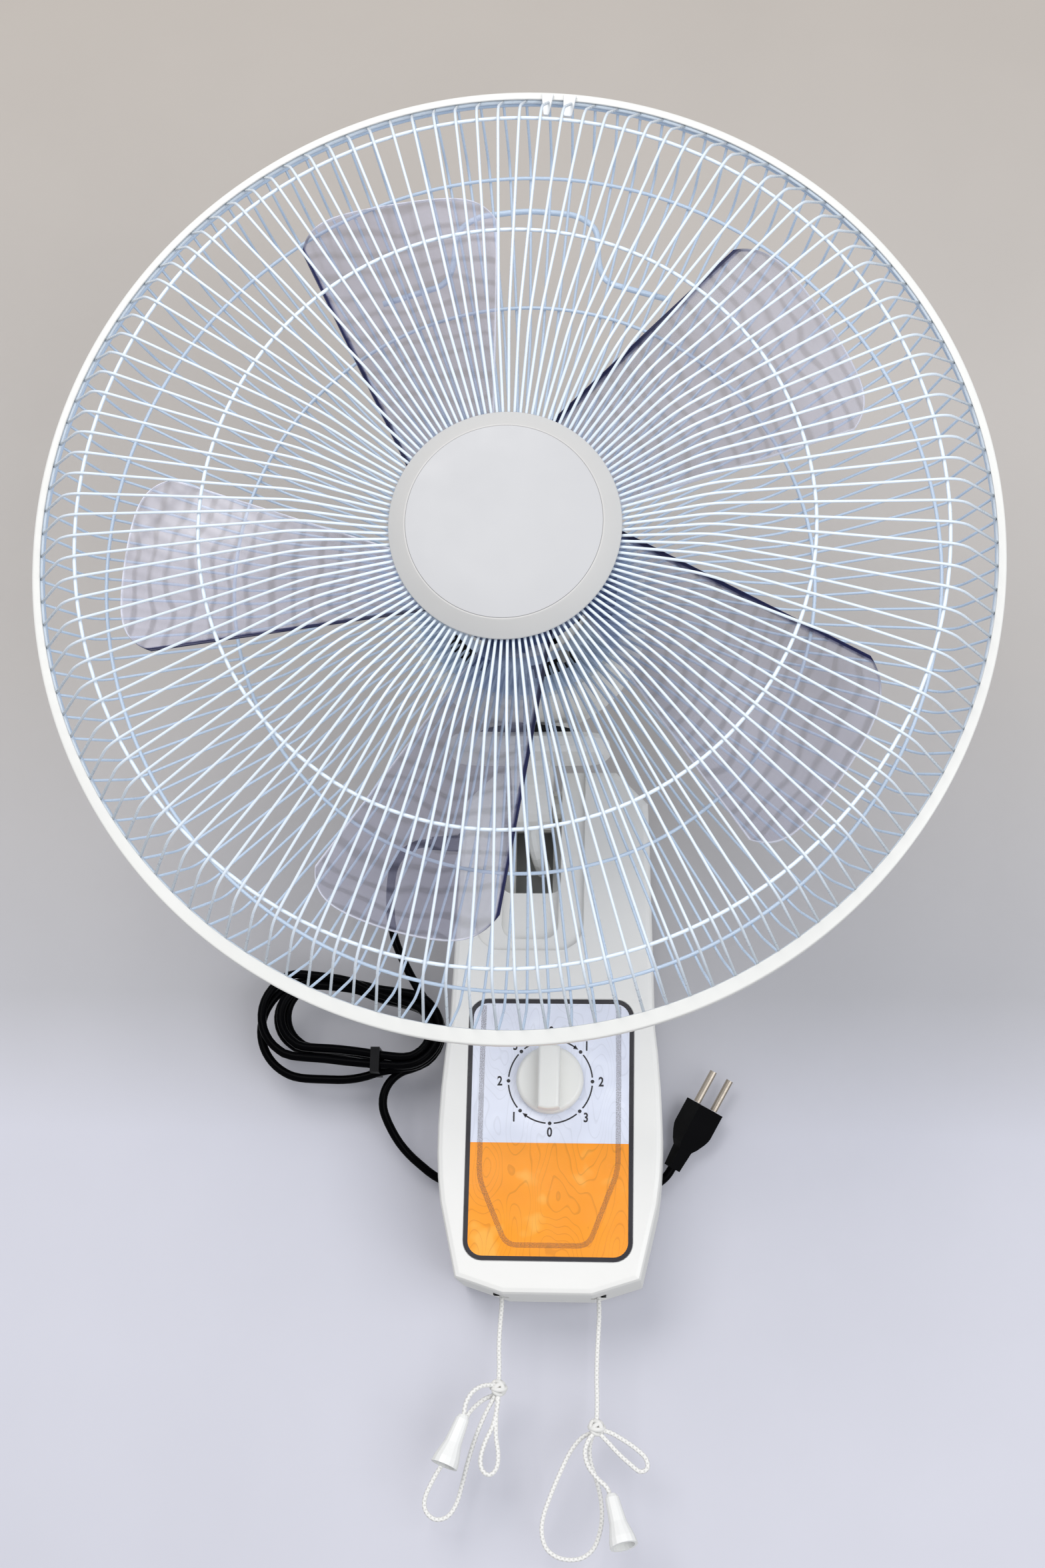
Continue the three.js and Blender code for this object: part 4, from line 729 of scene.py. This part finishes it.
# Dark rings in the two slots that the pull cords come out of, painted shade in the slot mouths: square, with
# a round hole for the rod.
SLOT_SHADE_HOLE, SLOT_SHADE_HALF = 3.5, 3.98
SLOT_SHADE_BOTTOM, SLOT_SHADE_TOP = -170.4, -169.4
SLOT_SHADE_SIDES = 32
turn = np.arange(SLOT_SHADE_SIDES) * math.pi / 16
hole = np.stack([SLOT_SHADE_HOLE * np.cos(turn), SLOT_SHADE_HOLE * np.sin(turn)], 1)
square = hole / np.abs(hole).max(1)[:, None] * SLOT_SHADE_HALF
levels = [(square, SLOT_SHADE_BOTTOM), (hole, SLOT_SHADE_BOTTOM), (hole, SLOT_SHADE_TOP), (square, SLOT_SHADE_TOP)]
slot_shade_parts = []
for x in (-PULL_X, PULL_X):
    rings = [
        np.column_stack([x + outline[:, 0], PULL_Y + outline[:, 1], np.full(SLOT_SHADE_SIDES, z)])
        for outline, z in levels
    ]
    slot_shade_parts.append((np.vstack(rings), bands(4, SLOT_SHADE_SIDES, closed=True, flipped=True)))
base_piece("slot_shade_rings", merge(slot_shade_parts), black_plastic, slot="black_plastic")

# ---- guard
WIRES = 126
TOP_ANGLE = 84.68  # degrees, where the two clips sit on the rim
FIRST_WIRE = math.radians(TOP_ANGLE + 360 / WIRES / 2)
RIM_CIRCLE = 236.2
RIM_WIRE = 1.2
# [radius, depth] corners of a bent wire.
front_profile = filleted([(40, -40.5), (47, -40.9), (98, -60), (215, -39), (RIM_CIRCLE, -1.5)], 9, 5)
rear_profile = filleted([(44, 70.6), (92, 60), (139, 72), (222, 39), (RIM_CIRCLE, 1.5)], 8, 4)


def wire_cage(profile, radius):
    """One bent wire, repeated round the fan axis."""
    line = np.array([(r, d, 0) for r, d in profile])
    vertices, faces = sweep(line, round_section(radius, 8), keep=(0, 0, 1))
    return [(turn_on_axis(vertices, FIRST_WIRE + i * 2 * math.pi / WIRES), faces) for i in range(WIRES)]


def ring(circle, depth, radius):
    """A closed ring of wire about the fan axis."""
    around, sides = 180, 10
    t = np.arange(around) * 2 * math.pi / around
    line = np.stack([circle * np.cos(t), np.full(around, depth), circle * np.sin(t)], 1)
    radial = np.stack([np.cos(t), np.zeros(around), np.sin(t)], 1)
    vertices = []
    for p, out in zip(line, radial):
        for a in np.arange(sides) * 2 * math.pi / sides:
            vertices.append(p + radius * math.cos(a) * out + np.array([0, radius * math.sin(a), 0]))
    return np.array(vertices), bands(around, sides, closed=True, flipped=True)


def washer(inner, outer, front, rear):
    edge = 0.4
    section = [(inner, front), (inner, rear), (outer - edge, rear)]
    section += [(outer, rear - edge), (outer, front + edge), (outer - edge, front)]
    return revolve(section)


def depth_at(profile, radius):
    for (r0, d0), (r1, d1) in zip(profile, profile[1:]):
        if r0 <= radius <= r1:
            return d0 + (d1 - d0) * (radius - r0) / (r1 - r0)


front_parts = wire_cage(front_profile, 0.72)
front_parts += [ring(RIM_CIRCLE, -1.5, RIM_WIRE), washer(30, 48, -41.25, -39.75)]
head_piece("front_wires", front_parts, wire_front, "front_guard", slot="guard_paint")
rear_parts = wire_cage(rear_profile, 0.7)
rear_parts += [ring(RIM_CIRCLE, 1.5, RIM_WIRE), washer(38, 58, 70, 71.5)]
head_piece("rear_wires", rear_parts, rear_paint_and_shade, "rear_guard", slot="guard_paint")

# Six curved slots of the rear guard's plate, as dark inlays that are painted shade in the holes.
plate_slot_shade = []
for k in range(6):
    middle = math.radians(60 * k - 68)
    across = np.linspace(-0.27, 0.27, 9)
    polar = [(49.6, middle + a) for a in across] + [(42.6, middle + a) for a in across[::-1]]
    outline = np.array([(r * math.cos(a), r * math.sin(a)) for r, a in polar])
    plate_slot_shade.append(prism(outline[::-1], 70.4, 69.85))
head_piece("plate_slot_shade", plate_slot_shade, black_plastic, slot="black_plastic")

# Support rings on the inside of the wires.
for name, circle, profile, side, material in (
    ("front_ring_inner", 146, front_profile, 1, wire_front),
    ("front_ring_outer", 209, front_profile, 1, wire_front),
    ("rear_ring_inner", 152, rear_profile, -1, rear_paint_and_shade),
    ("rear_ring_outer", 214, rear_profile, -1, rear_paint_and_shade),
):
    support = ring(circle, depth_at(profile, circle) + side * 1.7, 0.95)
    head_piece(name + "_wire", [support], material, name, slot="guard_paint")

loop_points = [(76, 61.6, 154), (43, 61.6, 164), (39, 66.4, 176)]
loop_points += [(38, 69.6, 198), (27, 69.6, 206), (0, 69.6, 209)]
loop_points += [(-x, d, h) for x, d, h in loop_points[-2::-1]]
handle = sweep(filleted(loop_points, 9, 6), round_section(1.6, 12))
head_piece("guard_handle", [handle], rear_paint_and_shade, "guard_loop", slot="guard_paint")

# ---- rim band
BAND_RADIUS, BAND_LIP, BAND_SEAT = 240.0, 236.0, 238.2
BAND_HALF, BAND_INSIDE = 4.35, 3.1


def band_growth(angle):
    """The band stands further out towards its lowest point."""
    return 2.6 * max(0.0, -math.sin(angle)) ** 1.2


def rim_channel():
    """The channel with rounded lips that holds the two rim rings together."""
    steps, vertices = 252, []
    for i in range(steps):
        a = 2 * math.pi * i / steps
        grow = band_growth(a)
        lip, outer = BAND_LIP - 0.3 * grow, BAND_RADIUS + grow
        rear = [(BAND_SEAT, BAND_INSIDE), (lip, BAND_INSIDE), (lip, BAND_HALF), (outer, BAND_HALF)]
        corners = rear + [(r, -d) for r, d in rear[::-1]]
        section = filleted(corners + corners[:1], 1.2, 4)[:-1]
        vertices += [(r * math.cos(a), d, r * math.sin(a)) for r, d in section]
    return np.array(vertices), bands(steps, len(section), closed=True)


def band_tail():
    """The free tail of the band, which overlaps its start with a ragged edge."""
    steps, vertices = 60, []
    for i in range(steps + 1):
        t = i / steps
        a = math.radians(-112.5 + 25.5 * t)
        ragged = 0.5 * math.sin(37 * t) + 0.35 * math.sin(91 * t + 1)
        width = (4.0 + ragged) * min(1, 9 * t) * min(1, 5 * (1 - t) + 0.06)
        out = 239.9 + band_growth(a)
        for r, d in ((out, 3.6), (out, 4.3 + width), (out - 1, 4.3 + width), (out - 1.3, 3.6)):
            vertices.append((r * math.cos(a), d, r * math.sin(a)))
    return np.array(vertices), bands(steps + 1, 4) + end_caps(steps + 1, 4)


head_piece("rim_channel", [rim_channel(), band_tail()], band_white, "rim_band", slot="rim_plastic", angle=50)

# Two tabs of the band hook over the front wires at the top.
TAB_ROOT, TAB_TIP, TAB_CORNER = 238.2, 226.8, 227.6
for side, name, wide, narrow in ((-1, "guard_clip_left", 3.1, 1.5), (1, "guard_clip_right", 3.3, 2.3)):
    half = [(narrow, TAB_CORNER), (wide, TAB_ROOT)]
    outline = [(-w, h) for w, h in half[::-1]] + [(-0.6 * narrow, TAB_TIP), (0.6 * narrow, TAB_TIP)] + half
    vertices, faces = prism(outline, -4.4, -6.0, 0.5)
    angle = math.radians(TOP_ANGLE - 90) - side * 0.024 + 0.004
    tab = (turn_on_axis(vertices, angle), faces)
    head_piece(name + "_tab", [tab], clip_white, name, slot="rim_plastic", angle=40)

# ---- cap
cap_corners = [(0.01, -49.4), (45, -49.4), (53.5, -45.5), (55.4, -45.5), (55.5, -46.9), (47.4, -52.8)]
cap_corners += [(46.7, -52.8), (46.7, -51.4), (0.01, -51.4)]
cap = revolve(filleted(cap_corners, 0.5, 3), 160)
head_piece("cap_shell", [cap], cap_grey, "hub_cap", slot="cap_plastic", angle=50)
disc_corners = [(0.01, -51.5), (46.65, -51.5), (46.65, -53.0), (30, -53.15), (0.01, -53.2)]
disc = revolve(filleted(disc_corners, 0.3, 3), 160)
head_piece("cap_disc", [disc], disc_grey, "hub_disc", slot="cap_plastic", angle=50)

# ---- impeller
BLADES = 5
BLADE_ROOT, BLADE_TIP = 38, 196  # radii from the fan axis
TIP_ANGLE = 31.4  # degrees between the two edges at the tip
BLADE_PHASE = 124.7  # degrees, the trailing edge of the first blade at its tip


def blade_point(u, v):
    """Middle of a blade, as in the CAD: u runs out from the hub, v from the trailing to the leading edge."""
    corner = 14 * abs(2 * v - 1) ** 6
    r = BLADE_ROOT + (BLADE_TIP - corner - BLADE_ROOT) * u

    def edge_angle(offset):
        return math.asin(offset / r) - math.asin(offset / BLADE_TIP)

    trailing = math.radians(BLADE_PHASE) + edge_angle(29)
    leading = math.radians(BLADE_PHASE - TIP_ANGLE) + edge_angle(12)
    angle = trailing + (leading - trailing) * v
    return r * math.cos(angle), -20 + 42 * v + 5 * math.sin(math.pi * v), r * math.sin(angle)


def blade_mark(point, u, v):
    """How dark a blade is and how strongly its painted highlight shows: dark along its trailing edge and at
    the hub, highlighted at its rims.
    """
    r = np.linalg.norm([point[0], point[2]])
    width = r * math.radians(TIP_ANGLE)
    trailing, leading, tip = v * width, (1 - v) * width, (1 - u) * (BLADE_TIP - BLADE_ROOT)
    dark = clamp((2.3 - trailing) / 0.8)
    if trailing < 14:
        dark = max(dark, clamp((1.5 - tip) / 0.6) * (1 - trailing / 14))
    dark = max(dark, 0.75 * max(0, 1 - (r - 42) / 14))
    return dark, clamp((1.1 - min(tip, leading)) / 0.5)


def make_blade():
    """One blade, 2 mm thick and thinner at its rims, as vertices, faces and the marks of its vertices."""
    across, along, half = 40, 48, 1.0
    rows, cols = along + 1, across + 1
    outward = [math.sin(math.pi / 2 * i / along) for i in range(rows)]
    sideways = [(1 - math.cos(math.pi * j / across)) / 2 for j in range(cols)]
    vertices, faces, marks = [], [], []
    for side in (-1, 1):
        for i, u in enumerate(outward):
            for j, v in enumerate(sideways):
                x, depth, height = blade_point(u, v)
                thin = min(1, 0.45 + 0.55 * min(j, cols - 1 - j, rows - 1 - i) / 2)
                vertices.append((x, depth + side * half * thin, height))
                marks.append(blade_mark((x, depth, height), u, v))

    def at(face, i, j):
        return face * rows * cols + i * cols + j

    for i in range(along):
        for j in range(across):
            faces.append([at(0, i, j), at(0, i, j + 1), at(0, i + 1, j + 1), at(0, i + 1, j)])
            faces.append([at(1, i, j), at(1, i + 1, j), at(1, i + 1, j + 1), at(1, i, j + 1)])
    rim = [(i, 0) for i in range(rows)] + [(rows - 1, j) for j in range(1, cols)]
    rim += [(i, cols - 1) for i in range(rows - 2, -1, -1)] + [(0, j) for j in range(cols - 2, 0, -1)]
    for (i0, j0), (i1, j1) in zip(rim, rim[1:] + rim[:1]):
        faces.append([at(0, i0, j0), at(0, i1, j1), at(1, i1, j1), at(1, i0, j0)])
    return vertices, faces, marks


hub_corners = [(4.3, -14), (36, -14), (42, -8), (42, 30), (39.5, 30), (39.5, -7), (35, -11.5), (10, -11.5)]
hub_corners += [(10, 30), (4.3, 30)]
hub_vertices, hub_faces = revolve(filleted(hub_corners, 2.0, 4), 96)
blade_vertices, blade_faces, blade_marks = make_blade()
turned_blades = [
    (turn_on_axis(blade_vertices, math.radians(360 / BLADES * k)), blade_faces) for k in range(BLADES)
]
all_vertices, all_faces = merge(turned_blades + [(hub_vertices, hub_faces)])
impeller = add_object("fan_blades", on_head(all_vertices), all_faces, blade)
marks = np.vstack([blade_marks * BLADES, [(0.8, 0.0)] * len(hub_vertices)])
radii = np.linalg.norm(all_vertices[:, [0, 2]], axis=1)
roots = np.clip(1 - (radii - 46) / 44, 0, 1) ** 1.3
# The second mark is the painted highlight along the blades' rims.
for name, values in (("edge", marks[:, 0]), ("painted_sheen", marks[:, 1]), ("root", roots)):
    impeller.data.attributes.new(name, "FLOAT", "POINT").data.foreach_set("value", values)
impeller.data.set_sharp_from_angle(angle=math.radians(40))
settle(impeller, "impeller", "impeller", slot="blade_plastic")

nut_corners = [(4.3, -14.3), (20, -14.3), (20, -22.3), (16, -30.3), (10, -34.3), (0.01, -34.3), (0.01, -30.3)]
nut_corners += [(4.3, -30.3)]
nut = revolve(filleted(nut_corners, 1.5, 4), 72)
head_piece("blade_nut", [nut], cap_grey, "spinner_nut", slot="cap_plastic", body="impeller", angle=40)

# ---- label and dial
FRONT = -58.0
DIAL_Z = -60.0
DIAL_CIRCLE, DIAL_HALF_LINE = 22.55, 0.4
NUMBER_CIRCLE = 27.2
NUMBER_HEIGHT = 5.2
ORANGE_TOP = -93.0
label_outline = rounded_rect(-44.5, -154.5, 44.5, -15.5, 10)
sheet = prism(label_outline, FRONT + 0.5, FRONT, 0.12)
base_piece("label_sheet", sheet, label_lilac, "label_panel", slot="label_sheet", angle=40)


def flat_ring(outer, inner, y):
    """A thin raised frame between two outlines with as many points each."""
    n, thickness = len(outer), 0.08
    vertices = [(x, y, z) for x, z in outer] + [(x, y, z) for x, z in inner]
    vertices += [(x, y - thickness, z) for x, z in outer] + [(x, y - thickness, z) for x, z in inner]
    faces = []
    for j in range(n):
        m = (j + 1) % n
        faces += [
            [2 * n + j, 2 * n + m, 3 * n + m, 3 * n + j],
            [m, j, n + j, n + m],
            [j, m, 2 * n + m, 2 * n + j],
            [n + m, n + j, 3 * n + j, 3 * n + m],
        ]
    return np.array(vertices), faces


border = flat_ring(label_outline, rounded_rect(-42.2, -152.2, 42.2, -17.8, 7.7), FRONT)
base_piece("label_border", border, ink, slot="label_sheet")

# The orange field is the lower part of a rounded rectangle, from its right top corner round to the left one.
low = [(x, z) for x, z in rounded_rect(-42.3, -152.3, 42.3, -17, 7.8) if z < -100]
right_side = sorted([p for p in low if p[0] >= 0], key=lambda p: p[1])[::-1]
left_side = sorted([p for p in low if p[0] < 0], key=lambda p: p[1])
orange_outline = np.array([(42.3, ORANGE_TOP)] + right_side + left_side + [(-42.3, ORANGE_TOP)])
orange = prism(orange_outline[::-1], FRONT + 0.1, FRONT - 0.05)
base_piece("label_lower", orange, label_orange, slot="label_sheet")

# Painted shade: a dotted dark line on the sheet along the edge of a raised panel under it.
step_shade_path = [(-36.6, -19), (-37, -60), (-37, -112), (-22, -146.5)]
step_shade_path += [(21.5, -146.5), (36.6, -107), (36.6, -60), (36.2, -19)]
step_shade_line = filleted([(x, FRONT - 0.08, z) for x, z in step_shade_path], 6, 6)
tone = sweep(step_shade_line, [(0.02, -1.4), (0.02, 1.4), (-0.02, 1.4), (-0.02, -1.4)], keep=(0, 1, 0))
base_piece("label_step_shade_line", tone, label_step_shade, slot="label_sheet")


def on_dial(radius, degrees):
    a = math.radians(degrees)
    return radius * math.cos(a), DIAL_Z + radius * math.sin(a)


dial_outlines = []
for k in range(8):
    start, end = 84.5 - 45 * k, 50.5 - 45 * k
    arrow = k in (0, 4)
    turn = np.linspace(start, end + (3.5 if arrow else 0), 14)
    outer, inner = DIAL_CIRCLE + DIAL_HALF_LINE, DIAL_CIRCLE - DIAL_HALF_LINE
    dial_outlines.append([on_dial(outer, a) for a in turn] + [on_dial(inner, a) for a in turn[::-1]])
    if arrow:
        dial_outlines.append([on_dial(23.7, end + 6), on_dial(22.6, end - 1), on_dial(21.3, end + 5.6)])
    x, z = on_dial(DIAL_CIRCLE, 90 - 45 * k)
    dial_outlines.append([(x + math.cos(b), z - math.sin(b)) for b in np.linspace(0, 2 * math.pi, 17)[:-1]])
dial_marks = merge([prism(outline[::-1], FRONT + 0.02, FRONT - 0.06) for outline in dial_outlines])
base_piece("dial_marks", dial_marks, ink, slot="label_sheet")


def digit_mesh(digit):
    """A digit's points about its own middle, in metres, and its faces."""
    curve = bpy.data.curves.new("digit", "FONT")
    curve.body, curve.size, curve.extrude, curve.offset = digit, 0.01, 0.00004, 0.00025
    text = bpy.data.objects.new("digit", curve)
    bpy.context.scene.collection.objects.link(text)
    bpy.context.view_layer.update()
    mesh = bpy.data.meshes.new_from_object(text.evaluated_get(bpy.context.evaluated_depsgraph_get()))
    bpy.data.objects.remove(text)
    points = np.array([tuple(v.co) for v in mesh.vertices])
    return points - (points.min(0) + points.max(0)) / 2, [list(f.vertices) for f in mesh.polygons]


numbers = []
for k, digit in enumerate("01230123"):
    points, faces = digit_mesh(digit)
    size = NUMBER_HEIGHT * MM / np.ptp(points[:, 1])
    x, z = on_dial(NUMBER_CIRCLE, 90 - 45 * k)
    v = [(x * MM + p[0] * size * 0.8, FRONT * MM - 0.00004 - p[2], z * MM + p[1] * size) for p in points]
    numbers.append((v, faces))
vertices, faces = merge(numbers)
settle(add_object("dial_numbers", vertices, faces, ink, smooth=False), "base", slot="label_sheet")

# ---- knob
KNOB_EDGE = 1.8  # radius of the grip's rounded edge
skirt_corners = [(3.4, -58.6), (18, -58.6), (18, -64.6), (16.6, -66.2), (0.01, -66.4), (0.01, -62)]
skirt, skirt_faces = revolve(filleted(skirt_corners, 1.4, 5), 96)
skirt[:, 2] += DIAL_Z
grip_levels = [(0, -60)]
for a in np.linspace(0, math.pi / 2, 6):
    grip_levels.append((KNOB_EDGE * (1 - math.cos(a)), -73.2 - KNOB_EDGE * math.sin(a)))
grip_rings = []
for inset, y in grip_levels:
    reach = 17.3 - inset
    side_angle = math.acos((5.75 - inset) / reach)
    turn = np.linspace(side_angle, math.pi - side_angle, 11)
    angles = [*turn, *(turn + math.pi)]
    grip_rings.append([(reach * math.cos(a), y, DIAL_Z + reach * math.sin(a)) for a in angles])
count, sides = len(grip_rings), len(grip_rings[0])
grip_caps = [face[::-1] for face in end_caps(count, sides)]
grip = (np.vstack(grip_rings), grip_caps + bands(count, sides, flipped=True))
knob = merge([(skirt, skirt_faces), grip])
base_piece("dial_knob", knob, knob_plastic, "speed_knob", slot="knob_plastic", body="knob", angle=35)

# ---- stage
WALL_Y, WALL_FOOT, SWEEP_RADIUS = 0.0008, -1.0, 0.6
profile = [(WALL_Y, 3.0), (WALL_Y, WALL_FOOT)]
for t in np.linspace(0.15, math.pi / 2, 8):
    profile.append((WALL_Y - SWEEP_RADIUS * (1 - math.cos(t)), WALL_FOOT - SWEEP_RADIUS * math.sin(t)))
profile += [(-5.0, WALL_FOOT - SWEEP_RADIUS)]
count = len(profile)
stage_vertices = [(x, y, z) for x in (-4.0, 4.0) for y, z in profile]
stage_faces = [[i, i + 1, i + 1 + count, i + count] for i in range(count - 1)]
stage = add_object("backdrop", stage_vertices, stage_faces, stage_surface())

world = bpy.data.worlds.new("world")
world.use_nodes = True
world.node_tree.nodes["Background"].inputs["Color"].default_value = (0.93, 0.95, 1.0, 1)
world.node_tree.nodes["Background"].inputs["Strength"].default_value = 0.54
bpy.context.scene.world = world
area_light("key", (-0.75, -2.4, 1.1), (0, -0.1, 0.05), 1.5, 36, (1.0, 0.985, 0.965))
area_light("fill", (1.35, -2.2, -0.6), (0, -0.1, -0.05), 1.8, 31, (0.96, 0.98, 1.0))
# A small light for the blades alone: the front wires throw their fine shadows on them.
spark = area_light("spark", (-0.35, -1.6, 1.5), (0, -0.2, 0.15), 0.07, 22, (1.0, 0.99, 0.97))
lit = bpy.data.collections.new("lit_by_spark")
lit.objects.link(impeller)
spark.light_linking.receiver_collection = lit
bpy.context.scene.view_settings.view_transform = "Standard"
